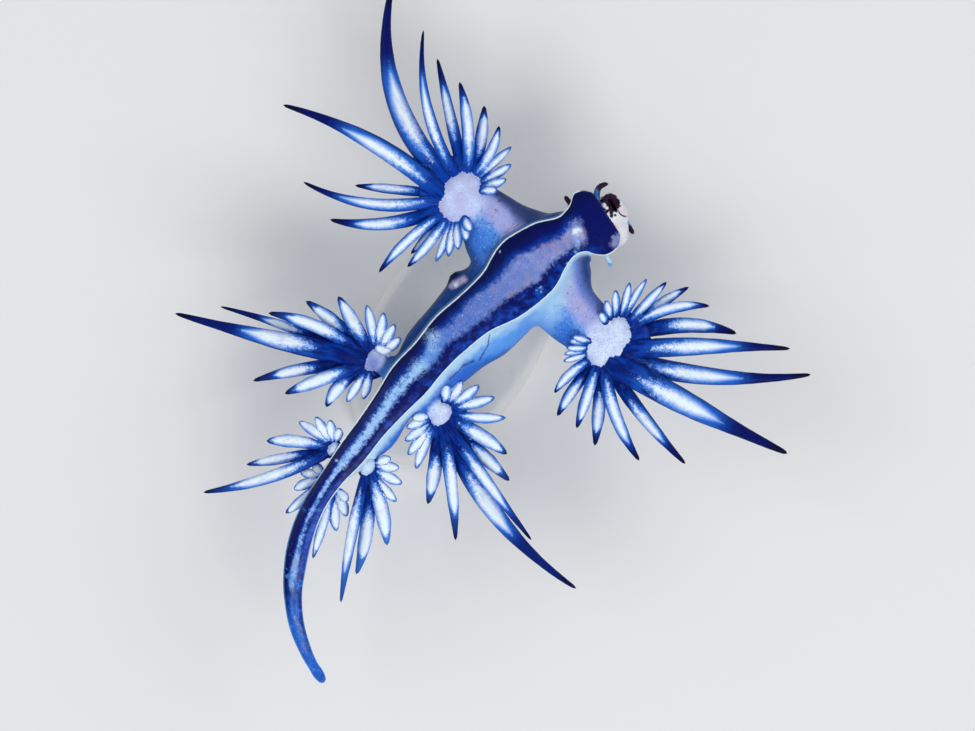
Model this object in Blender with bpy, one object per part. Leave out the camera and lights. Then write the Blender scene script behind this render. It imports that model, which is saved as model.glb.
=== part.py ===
"""Blue dragon sea slug (Glaucus atlanticus), life size, floating belly up on a display stand.

The animal floats upside down, so its foot faces up (+Z). +Y runs to its head, +X to its left
side. The origin is the centre of the underside of the stand's base.
Shapes are worked out in millimetres and scaled to metres when they are finished.
"""
import math
import random
from collections import namedtuple

import bmesh
import bpy
import numpy as np
from mathutils import Matrix, Vector

MM = 0.001
GAP = 0.3
THINNEST = 0.5
UP = Vector((0, 0, 1))

# The body, one row for each station from the front edge of the foot to the tip of the tail:
# y, x of the foot's middle, sag below SOLE_Z, half width of the foot, reach of the flanks to
# the animal's right and left, depth from the sole down to the back.
SOLE_Z = 11.0
BODY = (
    (11.66, 4.03, 0.12, 1.80, 0.75, 0.75, 1.50),
    (11.42, 3.92, 0.10, 2.12, 0.90, 0.90, 1.60),
    (11.05, 3.75, 0.08, 2.26, 1.10, 1.10, 1.80),
    (10.65, 3.55, 0.07, 2.26, 1.20, 1.30, 2.00),
    (10.30, 3.34, 0.06, 1.98, 1.28, 1.50, 2.20),
    (10.00, 3.14, 0.05, 1.64, 1.35, 1.75, 2.40),
    (9.60, 2.90, 0.04, 1.42, 1.50, 2.00, 2.70),
    (8.00, 2.05, 0.00, 1.82, 2.00, 2.50, 3.40),
    (6.50, 1.65, 0.00, 2.24, 2.40, 2.60, 3.90),
    (4.00, 1.20, 0.00, 1.92, 2.75, 2.95, 4.20),
    (2.00, 0.40, 0.00, 1.54, 2.65, 3.45, 4.20),
    (0.00, -0.25, 0.05, 1.48, 2.20, 3.05, 3.90),
    (-2.00, -0.60, 0.10, 1.34, 2.10, 2.75, 3.40),
    (-4.00, -0.93, 0.15, 1.40, 1.50, 2.00, 3.00),
    (-6.00, -1.16, 0.20, 1.16, 1.20, 1.65, 2.50),
    (-8.00, -1.38, 0.30, 1.00, 1.05, 1.90, 2.20),
    (-10.00, -1.55, 0.40, 0.97, 1.00, 1.35, 1.90),
    (-12.00, -1.77, 0.55, 0.78, 0.82, 0.90, 1.60),
    (-14.00, -1.82, 0.75, 0.74, 0.76, 0.76, 1.45),
    (-16.00, -1.50, 1.05, 0.77, 0.79, 0.79, 1.35),
    (-18.00, -0.82, 1.40, 0.73, 0.74, 0.74, 1.20),
    (-20.00, 0.25, 1.90, 0.58, 0.58, 0.58, 1.00),
    (-22.00, 2.10, 2.50, 0.45, 0.46, 0.46, 0.80),
    (-23.00, 3.60, 2.80, 0.33, 0.34, 0.34, 0.60),
    (-23.60, 4.85, 3.00, 0.09, 0.09, 0.09, 0.15),
)
BODY_STEP = 0.9
HEAD_STEP = 0.4
FRONT_Y, TAIL_TIP_Y = BODY[0][0], BODY[-1][0]
NECK_Y, WAIST_Y, RUMP_Y, TAIL_Y, TAIL_BEND_Y, TAIL_END_Y = 9.4, 2.4, -3.0, -9.2, -15.0, -19.2

# The foot is a plate with a crowned sole, a thin raised margin and a free edge.
FOOT_THICK = 0.7
SOLE_CROWN = 0.22
MARGIN_RISE = 0.08

# The head: a mouth bulb ahead of the foot's front edge, with lips round the slit of the mouth.
HEAD_TURN = math.radians(-28)
BULB_CENTRE = (4.34, 11.93, SOLE_Z - 0.75)
BULB_HALF = (1.28, 1.12, 1.0)
LIPS_CENTRE = (4.18, 12.42, SOLE_Z - 0.02)
LIPS_HALF = (0.72, 0.42)
LIP_THICK = 0.2
LIPS_TILT = 0.45
MOUTH_HALF = (0.5, 0.13, 0.55)

# Feelers: root inside the head, bend, tip, width at the root.
FEELERS = {
    "oral_tentacle_right": ((3.5, 11.9, 10.2), (2.25, 12.85, 10.4), (3.15, 13.5, 10.6), 0.6),
    "oral_tentacle_left": ((4.9, 12.15, 10.1), (5.6, 12.0, 10.15), (6.25, 11.65, 10.2), 0.6),
    "rhinophore_right": ((2.6, 10.95, 9.7), (1.8, 11.1, 9.6), (1.15, 11.4, 9.5), 0.6),
    "rhinophore_left": ((4.2, 10.35, 9.6), (5.3, 9.8, 9.45), (6.25, 9.05, 9.3), 0.55),
}
FEELER_TAPER = ((0.0, 1.0), (0.4, 1.0), (0.8, 0.75), (0.95, 0.45), (1.0, 0.0))

# The front arms, from inside the trunk out to the wrist: x, y, z of the middle line, half
# width and half thickness.
ARMS = {
    "arm_front_right": (
        (0.6, 7.0, 9.0, 2.8, 1.35),
        (-0.5, 6.9, 9.15, 2.65, 1.3),
        (-1.3, 7.0, 9.25, 2.45, 1.22),
        (-2.0, 7.25, 9.35, 2.15, 1.12),
        (-2.8, 7.5, 9.45, 1.95, 1.0),
    ),
    "arm_front_left": (
        (2.6, 6.2, 9.0, 3.4, 1.35),
        (4.2, 5.85, 9.15, 3.1, 1.3),
        (5.15, 5.2, 9.3, 2.35, 1.2),
        (6.2, 5.1, 9.42, 2.0, 1.08),
        (7.05, 5.0, 9.5, 1.85, 0.98),
    ),
}

# Each fan of cerata. stalk: x, y and half width of its root inside the body or the wrist.
# pad: x, y of its pale pad, half: the pad's half sizes, palm: reach of the webbed palm,
# drop: middle of the fan below the sole there. cerata: each long one by the angle where it
# leaves the pad, the angle and the reach of its tip about the pad, its bow to the left as a
# share of its length, and its width. runs: short ones from (angle, reach, lift of the tip) to
# the same of the last, their number and their width.
Fan = namedtuple("Fan", "stalk pad half palm drop cerata runs")
FANS = {
    "cerata_front_right": Fan(
        (-2.4, 7.4, 1.95), (-4.45, 7.75), (1.35, 1.8), 2.35, 1.5,
        ((98, 94, 5.2, -0.09, 0.6), (95, 108, 6.1, -0.04, 0.72), (110, 123, 7.4, -0.05, 0.75),
         (118, 132, 9.1, 0.0, 0.78), (139, 135, 11.0, 0.09, 0.8), (165, 140, 14.6, 0.14, 1.45),
         (205, 185, 12.9, -0.06, 1.25), (197, 206, 6.9, 0.0, 0.6), (209, 207, 10.2, 0.1, 0.85),
         (235, 222, 8.6, 0.09, 0.88), (255, 255, 7.2, -0.05, 0.65), (262, 261, 4.9, 0.0, 0.5),
         (269, 265, 5.7, 0.03, 0.62)),
        (((41, 2.4, 1.3), (77, 4.6, 0.3), 4, 0.5), ((281, 4.5, 0.2), (318, 2.4, 1.3), 5, 0.5)),
    ),
    "cerata_front_left": Fan(
        (6.6, 5.0, 1.85), (8.7, 5.0), (1.3, 1.85), 2.3, 1.45,
        ((-101, -105, 4.9, -0.08, 0.6), (-91, -93, 5.9, -0.04, 0.68), (-93, -79, 6.0, 0.0, 0.68),
         (-75, -66, 6.8, 0.01, 0.78), (-56, -44, 7.9, -0.07, 0.82), (-50, -26, 9.3, -0.03, 0.92),
         (-42, 0, 13.5, -0.01, 1.6), (-8, 23, 13.2, -0.04, 1.3), (8, 30, 11.6, 0.03, 1.15),
         (38, 36, 8.2, 0.09, 1.0), (52, 52, 6.8, 0.11, 0.65), (62, 67, 6.2, 0.03, 0.6),
         (75, 79, 5.3, 0.0, 0.55)),
        (((92, 4.7, 0.2), (141, 2.0, 1.3), 5, 0.5), ((-125, 3.3, 0.4), (-155, 2.6, 1.4), 4, 0.5)),
    ),
    "cerata_second_right": Fan(
        (-1.6, -3.9, 0.75), (-3.6, -4.2), (0.55, 0.75), 1.4, 1.35,
        ((151, 151, 4.7, 0.0, 0.82), (171, 171, 5.8, -0.03, 0.82), (186, 188, 7.4, -0.07, 0.82),
         (190, 193, 10.5, -0.02, 0.78), (200, 199, 13.1, 0.01, 1.3), (219, 222, 7.9, -0.03, 0.82),
         (233, 233, 6.1, -0.01, 0.8), (255, 257, 4.3, -0.1, 0.75)),
        (((72, 2.3, 0.5), (129, 3.6, 0.2), 4, 0.55), ((270, 3.2, 0.1), (288, 2.6, 0.4), 2, 0.5)),
    ),
    "cerata_second_left": Fan(
        (0.2, -4.7, 0.85), (1.95, -4.8), (0.65, 0.85), 1.5, 1.35,
        ((1, 1, 5.0, 0.03, 0.85), (-12, -12, 6.2, 0.0, 0.82), (-22, -22, 10.0, -0.01, 0.82),
         (-16, -20, 14.3, -0.085, 1.3), (-45, -51, 8.2, 0.02, 0.8), (-70, -66, 5.9, 0.03, 0.82)),
        (((29, 4.2, 0.2), (110, 2.0, 0.6), 5, 0.58), ((-82, 3.9, 0.1), (-140, 1.9, 0.5), 5, 0.55)),
    ),
    "cerata_third_right": Fan(
        (-1.7, -10.2, 0.55), (-2.75, -10.4), (0.35, 0.6), 0.85, 0.75,
        ((200, 206, 4.3, -0.05, 0.72), (225, 223, 5.7, 0.0, 0.62), (245, 231, 8.8, 0.045, 0.78)),
        (((105, 1.4, 0.3), (174, 2.8, 0.2), 4, 0.52),),
    ),
    "cerata_third_left": Fan(
        (-1.2, -10.1, 0.55), (-0.2, -10.2), (0.4, 0.65), 0.9, 0.8,
        ((-25, -44, 5.2, 0.04, 0.85), (-58, -64, 7.0, 0.055, 0.85), (-68, -69, 8.9, -0.015, 0.72)),
        (((55, 1.6, 0.3), (-18, 2.9, 0.1), 4, 0.55),),
    ),
    "cerata_fourth_right": Fan(
        (-1.9, -12.2, 0.4), (-2.65, -12.3), (0.3, 0.35), 0.5, 1.15,
        ((252, 261, 3.2, 0.03, 0.5),),
        (((165, 0.9, -0.1), (246, 2.0, -0.4), 3, 0.5),),
    ),
    "cerata_fourth_left": Fan(
        (-1.6, -12.2, 0.4), (-0.9, -12.3), (0.3, 0.35), 0.5, 1.15,
        ((-72, -81, 4.9, -0.03, 0.5),),
        (((-38, 1.3, -0.1), (-64, 2.8, -0.5), 3, 0.5),),
    ),
}
# Half thickness of a palm: a constant part, and a share of its reach.
PALM_THICK = (0.42, 0.085)
PAD_RISE = 0.16
ROOT_SUNK = 0.7
ROOT_SHIFT = 0.12
CERAS_TAPER = ((0.0, 0.75), (0.27, 1.0), (0.55, 0.86), (0.85, 0.45), (1.0, 0.0))
CERAS_FLATNESS = 0.82
# Tips stand above and below the palm in turn, by a share of their reach, and droop a little.
CERAS_SPREAD = 0.1
CERAS_DROOP = 0.03
RING_PITCH = 2.6
SEED = 7

# The papilla on the animal's right flank.
PAPILLA_CENTRE = (-1.85, 3.05, SOLE_Z - 1.75)
PAPILLA_HALF = (0.62, 0.8, 0.5)

# The stand: an oval base, and two rods up to the animal's back.
BASE_HALF = (5.5, 9.5)
BASE_THICK = 2.5
BASE_BEVEL = 0.35
ROD_RADIUS = 0.65
ROD_YS = {"stand_rod_front": 4.6, "stand_rod_rear": -5.0}

# Colour, roughness and metallic value of each material.
FINISHES = {
    "sole": ((0.01, 0.03, 0.22), 0.35, 0.0),
    "flank": ((0.22, 0.38, 0.75), 0.4, 0.0),
    "head": ((0.55, 0.55, 0.65), 0.4, 0.0),
    "feeler": ((0.05, 0.05, 0.16), 0.4, 0.0),
    "cerata": ((0.25, 0.42, 0.85), 0.35, 0.0),
    "base": ((0.78, 0.78, 0.76), 0.5, 0.0),
    "rod": ((0.6, 0.6, 0.6), 0.3, 1.0),
}


def smooth_read(rows, at):
    """The columns after the first, read from a smooth curve at one value of the first."""
    table = np.array(sorted(rows), dtype=float)
    keys, values = table[:, 0], table[:, 1:]
    slopes = np.gradient(values, keys, axis=0)
    low = int(np.clip(np.searchsorted(keys, at) - 1, 0, len(keys) - 2))
    span = keys[low + 1] - keys[low]
    t = np.clip((at - keys[low]) / span, 0.0, 1.0)
    blend = t * t * (3 - 2 * t)
    leave, arrive = t * (1 - t) ** 2, t * t * (t - 1)
    curve = span * (slopes[low] * leave + slopes[low + 1] * arrive)
    return values[low] + (values[low + 1] - values[low]) * blend + curve


def turn_vector(degrees):
    return Vector((math.cos(math.radians(degrees)), math.sin(math.radians(degrees)), 0))


def bent(root, bend, tip, t):
    """Point at a share of a line from root to tip that is drawn to a bend."""
    return root * (1 - t) ** 2 + bend * 2 * t * (1 - t) + tip * t ** 2


def circle(sides):
    return np.linspace(0, 2 * math.pi, sides, endpoint=False)


def closed_object(mesh, name):
    """Object in the scene from a bmesh, in triangles with its faces turned out."""
    bmesh.ops.triangulate(mesh, faces=mesh.faces)
    bmesh.ops.recalc_face_normals(mesh, faces=mesh.faces)
    data = bpy.data.meshes.new(name)
    mesh.to_mesh(data)
    mesh.free()
    thing = bpy.data.objects.new(name, data)
    bpy.context.scene.collection.objects.link(thing)
    return thing


def loft(rings, name, ring_closes=False):
    """Closed mesh object through rings of points. A ring of one point is a pointed end."""
    mesh = bmesh.new()
    rows = [[mesh.verts.new(point) for point in ring] for ring in rings]
    pairs = list(zip(rows, rows[1:]))
    if ring_closes:
        pairs.append((rows[-1], rows[0]))
    for near, far in pairs:
        for i in range(len(near)):
            j = (i + 1) % len(near)
            if len(far) == 1:
                mesh.faces.new((near[i], near[j], far[0]))
            else:
                mesh.faces.new((near[i], near[j], far[j], far[i]))
    for end in (rows[0], rows[-1]):
        if len(end) > 1 and not ring_closes:
            mesh.faces.new(end)
    return closed_object(mesh, name)


def tube(line, halves, sides, name):
    """Loft along a line of points, with the half width and half height of each section."""
    rings = []
    for i, (point, (wide, high)) in enumerate(zip(line, halves)):
        along = (line[min(i + 1, len(line) - 1)] - line[max(i - 1, 0)]).normalized()
        across = along.cross(UP).normalized()
        rise = across.cross(along)
        if wide == 0:
            rings.append([point])
        else:
            rings.append([point + across * wide * math.cos(a) + rise * high * math.sin(a)
                          for a in circle(sides)])
    return loft(rings, name)


def ellipsoid(centre, halves, turn=0.0, sides=12, rows=7, name="ellipsoid"):
    mesh = bmesh.new()
    place = Matrix.Translation(centre) @ Matrix.Rotation(turn, 4, "Z") @ Matrix.Diagonal((*halves, 1.0))
    bmesh.ops.create_uvsphere(mesh, u_segments=sides, v_segments=rows, radius=1.0, matrix=place)
    return closed_object(mesh, name)


def surfaces_of(mesh):
    """The faces of a bmesh in groups that hang together through edges of two faces."""
    waiting, surfaces = set(mesh.faces), []
    while waiting:
        open_faces = [waiting.pop()]
        surface = list(open_faces)
        while open_faces:
            for edge in open_faces.pop().edges:
                for face in edge.link_faces:
                    if face in waiting and len(edge.link_faces) == 2:
                        waiting.remove(face)
                        open_faces.append(face)
                        surface.append(face)
        surfaces.append(surface)
    return surfaces


def keep_largest_surface(data):
    """Leave only the closed surface that holds the most volume."""
    mesh = bmesh.new()
    mesh.from_mesh(data)
    surfaces = surfaces_of(mesh)
    keep = max(surfaces, key=lambda faces: abs(sum(
        face.calc_center_median().dot(face.normal) * face.calc_area() for face in faces)))
    loose = [face for surface in surfaces if surface is not keep for face in surface]
    bmesh.ops.delete(mesh, geom=loose, context="FACES")
    bmesh.ops.triangulate(mesh, faces=mesh.faces)
    mesh.to_mesh(data)
    mesh.free()


def combine(thing, others, operation):
    """Join the others to an object, or cut them from it, by one Boolean, and remove them."""
    group = bpy.data.collections.new("others")
    bpy.context.scene.collection.children.link(group)
    for other in others:
        bpy.context.scene.collection.objects.unlink(other)
        group.objects.link(other)
    modifier = thing.modifiers.new("Combine", "BOOLEAN")
    modifier.operation = operation
    modifier.operand_type = "COLLECTION"
    modifier.collection = group
    graph = bpy.context.evaluated_depsgraph_get()
    result = bpy.data.meshes.new_from_object(thing.evaluated_get(graph))
    thing.modifiers.remove(modifier)
    thing.data = result
    for other in others:
        bpy.data.objects.remove(other, do_unlink=True)
    bpy.data.collections.remove(group)
    keep_largest_surface(result)
    return thing


def body_frame(y):
    """Middle of the sole at a station, the vectors to the animal's left and up, its sizes."""
    step = 0.05
    ahead_y, behind_y = min(y + step, FRONT_Y), max(y - step, TAIL_TIP_Y)
    ahead, behind = smooth_read(BODY, ahead_y), smooth_read(BODY, behind_y)
    x, sag, *sizes = smooth_read(BODY, y)
    forward = Vector((ahead[0] - behind[0], ahead_y - behind_y, behind[1] - ahead[1])).normalized()
    left = forward.cross(UP).normalized()
    return Vector((x, y, SOLE_Z - sag)), left, left.cross(forward), sizes


def foot_section(sizes, grow):
    """The foot: crowned sole, raised margin, free edge, flat underside."""
    foot, _, _, depth = sizes
    half, thick = foot + grow, min(FOOT_THICK, 0.7 * depth) + grow
    sole = [(share * half, rise + grow) for share, rise in (
        (-0.85, MARGIN_RISE), (-0.45, 0.8 * SOLE_CROWN), (0.0, SOLE_CROWN),
        (0.45, 0.8 * SOLE_CROWN), (0.85, MARGIN_RISE))]
    return sole + [(half, 0.0), (0.82 * half, -thick), (0.0, -thick), (-0.82 * half, -thick), (-half, 0.0)]


def trunk_section(sizes, grow):
    """The body below the foot: flat where the foot lies, then round flanks and back."""
    foot, right, left, depth = sizes
    top, waist = -FOOT_THICK - GAP + grow, -0.45 * depth
    outline = []
    for side, reach in ((1, left + grow), (-1, right + grow)):
        flat = min(0.85 * foot, 0.7 * reach)
        shoulder = [(flat + (reach - flat) * math.cos(a), waist + (top - waist) * math.sin(a))
                    for a in np.radians((90, 56, 25))]
        belly = [(reach * math.cos(a), waist - (depth + grow + waist) * math.sin(a))
                 for a in np.radians((0, 26, 50))]
        half = [(side * u, v) for u, v in shoulder + belly]
        outline += half + [(0.0, -depth - grow)] if side > 0 else half[::-1] + [(0.0, top)]
    return outline


def tail_section(sizes, grow):
    """The tail: its sole above, the flanks and back in one round below."""
    foot, _, _, depth = sizes
    half = foot + grow
    sole = [(share * half, rise * foot + grow) for share, rise in (
        (-0.85, 0.08), (-0.45, 0.16), (0.0, 0.2), (0.45, 0.16), (0.85, 0.08))]
    return sole + [(half * math.cos(a), -(depth + grow) * math.sin(a)) for a in np.radians(range(0, 181, 30))]


def body_length(name, front, back, section, grow=0.0):
    """Loft of one length of the body, its stations evenly spaced along it, closer in the head."""
    ys = np.linspace(front, back, 100)
    points = np.array([body_frame(y)[0] for y in ys])
    steps = np.linalg.norm(np.diff(points, axis=0), axis=1) / np.where(ys[1:] > NECK_Y, HEAD_STEP, BODY_STEP)
    run = np.concatenate(([0.0], np.cumsum(steps)))
    stations = np.interp(np.linspace(0, run[-1], max(2, round(run[-1]) + 1)), run, ys)
    rings = []
    for y in stations:
        point, left, up, sizes = body_frame(y)
        rings.append([point + left * u + up * v for u, v in section(sizes, grow)])
    return loft(rings, name)


def grown_body(with_foot=True):
    """The body with the gap added all round, to cut what meets it."""
    grown = [body_length("grown_trunk", FRONT_Y, TAIL_Y, trunk_section, GAP),
             body_length("grown_tail", TAIL_Y, TAIL_TIP_Y, tail_section, GAP)]
    if with_foot:
        grown.append(body_length("grown_foot", FRONT_Y, TAIL_Y, foot_section, GAP))
    return grown


def lips():
    """Closed ring of lip round the mouth, tilted to lie on the front of the bulb."""
    place = Matrix.Translation(LIPS_CENTRE) @ Matrix.Rotation(HEAD_TURN, 4, "Z")
    rings = []
    for a in circle(14):
        out = Vector((math.cos(a), math.sin(a), 0))
        middle = Vector((LIPS_HALF[0] * out.x, LIPS_HALF[1] * out.y, -LIPS_TILT * LIPS_HALF[1] * out.y))
        rings.append([place @ (middle + LIP_THICK * (out * math.cos(b) + UP * math.sin(b)))
                      for b in circle(6)])
    return loft(rings, "lips", ring_closes=True)


def head():
    """Neck under the front of the foot, the mouth bulb ahead of it, and the slit of the mouth."""
    neck = body_length("head", FRONT_Y, NECK_Y + GAP, trunk_section)
    bulb = ellipsoid(BULB_CENTRE, BULB_HALF, HEAD_TURN, sides=18, rows=11)
    whole = combine(neck, [bulb, lips()], "UNION")
    grown_foot = body_length("grown_foot", FRONT_Y, NECK_Y, foot_section, GAP)
    mouth = ellipsoid(LIPS_CENTRE, MOUTH_HALF, HEAD_TURN, sides=8, rows=6)
    return combine(whole, [grown_foot, mouth], "DIFFERENCE")


def feeler(name):
    """Round feeler out of the head, cut off where it meets the bulb, the neck and the foot."""
    *points, width = FEELERS[name]
    line = [bent(*map(Vector, points), share) for share, _ in FEELER_TAPER]
    halves = [(width / 2 * size, width / 2 * size) for _, size in FEELER_TAPER]
    cutters = [body_length("grown_neck", FRONT_Y, NECK_Y, trunk_section, GAP),
               body_length("grown_foot", FRONT_Y, NECK_Y, foot_section, GAP),
               ellipsoid(BULB_CENTRE, [half + GAP for half in BULB_HALF], HEAD_TURN, 18, 11)]
    return combine(tube(line, halves, 8, name), cutters, "DIFFERENCE")


def arm(name, grow=0.0):
    """Flat round arm, its inner end well inside the trunk."""
    line = [Vector(row[:3]) for row in ARMS[name]]
    line[-1] += (line[-1] - line[-2]).normalized() * grow
    return tube(line, [(wide + grow, high + grow) for *_, wide, high in ARMS[name]], 14, name)


def ceras(fan, middle, leave, tip_angle, reach, bow, width, lift, shift):
    """One ceras: a pointed finger that leaves the pad, bows to one side and tapers to its tip."""
    root = middle + Vector((*fan.half, 0)) * turn_vector(leave) * ROOT_SUNK + UP * shift
    tip = middle + turn_vector(tip_angle) * reach + UP * lift
    chord = tip - root
    bend = (root + tip) / 2 + UP.cross(chord) * 2 * bow + UP * lift * 0.2
    rings = 3 + round(reach / RING_PITCH)
    line, halves = [], []
    for t in np.linspace(0, 1, rings + 1):
        line.append(bent(root, bend, tip, t))
        size = smooth_read(CERAS_TAPER, t)[0] if t < 1 else 0.0
        half = max(width, THINNEST) / 2 * size
        halves.append((half, half * CERAS_FLATNESS))
    return tube(line, halves, 6, "ceras")


def fan_of_cerata(name):
    """Pad, palm and stalk of one fan with all its cerata rooted in them, in one body."""
    fan = FANS[name]
    rng = random.Random(SEED)
    sole = body_frame(fan.pad[1])[0]
    middle = Vector((*fan.pad, sole.z - fan.drop))
    stalk_x, stalk_y, stalk_half = fan.stalk
    stalk_root = Vector((stalk_x, stalk_y, middle.z))
    thick = PALM_THICK[0] + PALM_THICK[1] * fan.palm
    sides = 2 * round(5 + fan.palm)
    stalk = tube([stalk_root, middle.lerp(stalk_root, 0.4), middle],
                 [(stalk_half, thick * 1.4), (stalk_half, thick * 1.25), (stalk_half * 0.8, thick)],
                 12, name)
    outward = (middle - stalk_root).normalized()
    pieces = [
        ellipsoid(middle + outward * fan.palm * 0.2, (fan.palm, fan.palm, thick), sides=sides, rows=6),
        ellipsoid(middle, (*fan.half, thick + PAD_RISE), sides=sides, rows=6),
    ]
    for i, (leave, tip_angle, reach, bow, width) in enumerate(fan.cerata):
        side = -1 if i % 2 else 1
        lift = side * CERAS_SPREAD * reach * rng.uniform(0.5, 1.0) - CERAS_DROOP * reach
        pieces.append(ceras(fan, middle, leave, tip_angle, reach, bow, width, lift, side * ROOT_SHIFT))
    for first, last, count, width in fan.runs:
        for i in range(count):
            angle, reach, lift = (a + (b - a) * i / (count - 1) for a, b in zip(first, last))
            bow = rng.uniform(-0.04, 0.04)
            pieces.append(ceras(fan, middle, angle, angle, reach, bow, width, lift, lift * 0.2))
    whole = combine(stalk, pieces, "UNION")
    cutters = grown_body() + [arm(side, GAP) for side in ARMS]
    return combine(whole, cutters, "DIFFERENCE")


def papilla():
    whole = ellipsoid(PAPILLA_CENTRE, PAPILLA_HALF, name="genital_papilla")
    return combine(whole, grown_body(), "DIFFERENCE")


def stand_base():
    """Oval plate with its upper rim rounded and its underside flat on the floor."""
    mesh = bmesh.new()
    place = Matrix.Translation((0, 0, BASE_THICK / 2)) @ Matrix.Diagonal((*BASE_HALF, BASE_THICK, 1.0))
    bmesh.ops.create_cone(mesh, cap_ends=True, segments=40, radius1=1, radius2=1, depth=1, matrix=place)
    rim = [edge for edge in mesh.edges if all(vert.co.z > BASE_THICK / 2 for vert in edge.verts)]
    bmesh.ops.bevel(mesh, geom=rim, offset=BASE_BEVEL, segments=2, profile=0.5, affect="EDGES")
    return closed_object(mesh, "stand_base")


def stand_rod(name):
    """Round rod from just above the base up to the animal's back, which shapes its top."""
    sole, _, _, sizes = body_frame(ROD_YS[name])
    low, high = BASE_THICK + GAP, sole.z - sizes[-1] / 2
    mesh = bmesh.new()
    bmesh.ops.create_cone(mesh, cap_ends=True, segments=16, radius1=ROD_RADIUS, radius2=ROD_RADIUS,
                          depth=high - low, matrix=Matrix.Translation((sole.x, sole.y, (low + high) / 2)))
    return combine(closed_object(mesh, name), grown_body(with_foot=False), "DIFFERENCE")


def finish(thing, colour):
    """Scale a piece to metres, set its origin in its middle, give it a parent and a material."""
    data = thing.data
    data.transform(Matrix.Scale(MM, 4))
    places = np.array([vertex.co for vertex in data.vertices])
    middle = Vector((places.min(axis=0) + places.max(axis=0)) / 2)
    data.transform(Matrix.Translation(-middle))
    thing.location = middle
    thing.parent = model
    material = bpy.data.materials.get(colour)
    if material is None:
        base, roughness, metallic = FINISHES[colour]
        material = bpy.data.materials.new(colour)
        material.use_nodes = True
        shader = material.node_tree.nodes["Principled BSDF"]
        shader.inputs["Base Color"].default_value = (*base, 1.0)
        shader.inputs["Roughness"].default_value = roughness
        shader.inputs["Metallic"].default_value = metallic
    data.materials.clear()
    data.materials.append(material)
    data.shade_smooth()
    data.set_sharp_from_angle(angle=math.radians(40))


for leftover in list(bpy.data.objects):
    bpy.data.objects.remove(leftover, do_unlink=True)
model = bpy.data.objects.new("blue_dragon", None)
bpy.context.scene.collection.objects.link(model)

finish(head(), "head")
for name in FEELERS:
    finish(feeler(name), "feeler")
for name, front, back in (
    ("foot_front", FRONT_Y, WAIST_Y),
    ("foot_middle", WAIST_Y, RUMP_Y),
    ("foot_rear", RUMP_Y, TAIL_Y),
):
    finish(body_length(name, front, back + GAP, foot_section), "sole")
for name, front, back in (
    ("trunk_front", NECK_Y, WAIST_Y),
    ("trunk_middle", WAIST_Y, RUMP_Y),
    ("trunk_rear", RUMP_Y, TAIL_Y),
):
    finish(body_length(name, front, back + GAP, trunk_section), "flank")
for name, front, back in (
    ("tail_front", TAIL_Y, TAIL_BEND_Y + GAP),
    ("tail_middle", TAIL_BEND_Y, TAIL_END_Y + GAP),
    ("tail_tip", TAIL_END_Y, TAIL_TIP_Y),
):
    finish(body_length(name, front, back, tail_section), "sole")
for name in ARMS:
    finish(combine(arm(name), grown_body(), "DIFFERENCE"), "flank")
for name in FANS:
    finish(fan_of_cerata(name), "cerata")
finish(papilla(), "flank")
finish(stand_base(), "base")
for name in ROD_YS:
    finish(stand_rod(name), "rod")
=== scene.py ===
import math
import random

import bmesh
import bpy
import numpy as np
from mathutils import Matrix, Vector
from mathutils.kdtree import KDTree


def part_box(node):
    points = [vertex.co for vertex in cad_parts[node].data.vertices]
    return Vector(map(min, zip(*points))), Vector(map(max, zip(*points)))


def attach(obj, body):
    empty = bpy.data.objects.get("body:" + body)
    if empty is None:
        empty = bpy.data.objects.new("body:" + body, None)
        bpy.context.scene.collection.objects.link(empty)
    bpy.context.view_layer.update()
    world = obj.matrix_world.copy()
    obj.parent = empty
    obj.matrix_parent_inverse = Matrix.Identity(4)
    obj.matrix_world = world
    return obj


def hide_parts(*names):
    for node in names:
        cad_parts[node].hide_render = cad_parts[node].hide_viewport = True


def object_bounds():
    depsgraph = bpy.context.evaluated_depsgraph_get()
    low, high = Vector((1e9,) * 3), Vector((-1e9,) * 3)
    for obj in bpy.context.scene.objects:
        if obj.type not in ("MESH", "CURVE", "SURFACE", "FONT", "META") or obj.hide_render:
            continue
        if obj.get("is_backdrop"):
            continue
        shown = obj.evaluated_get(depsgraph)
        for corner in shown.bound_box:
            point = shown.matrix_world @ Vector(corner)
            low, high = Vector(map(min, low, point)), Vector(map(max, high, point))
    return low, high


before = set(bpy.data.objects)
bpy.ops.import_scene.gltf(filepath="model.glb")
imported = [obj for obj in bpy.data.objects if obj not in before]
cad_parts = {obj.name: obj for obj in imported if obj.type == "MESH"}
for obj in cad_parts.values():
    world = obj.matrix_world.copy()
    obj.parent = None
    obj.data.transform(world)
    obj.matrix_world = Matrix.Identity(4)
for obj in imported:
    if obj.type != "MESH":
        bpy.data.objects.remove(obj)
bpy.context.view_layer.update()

# Camera: straight above the floating animal, turned as the photo is, with a long lens.
# One millimetre of the animal is 15.5 pixels of the picture, whose right edge points along
# the animal's left side and forwards.
MM = 0.001
IMAGE_WIDTH, IMAGE_HEIGHT = 975, 731
PIXELS_PER_MM = 15.5
PICTURE_TURN = math.radians(32.3)
ORIGIN_PIXEL = (455.0, 335.0)
LENS, SENSOR = 200.0, 36.0
SUBJECT_Z = 10.0

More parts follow.
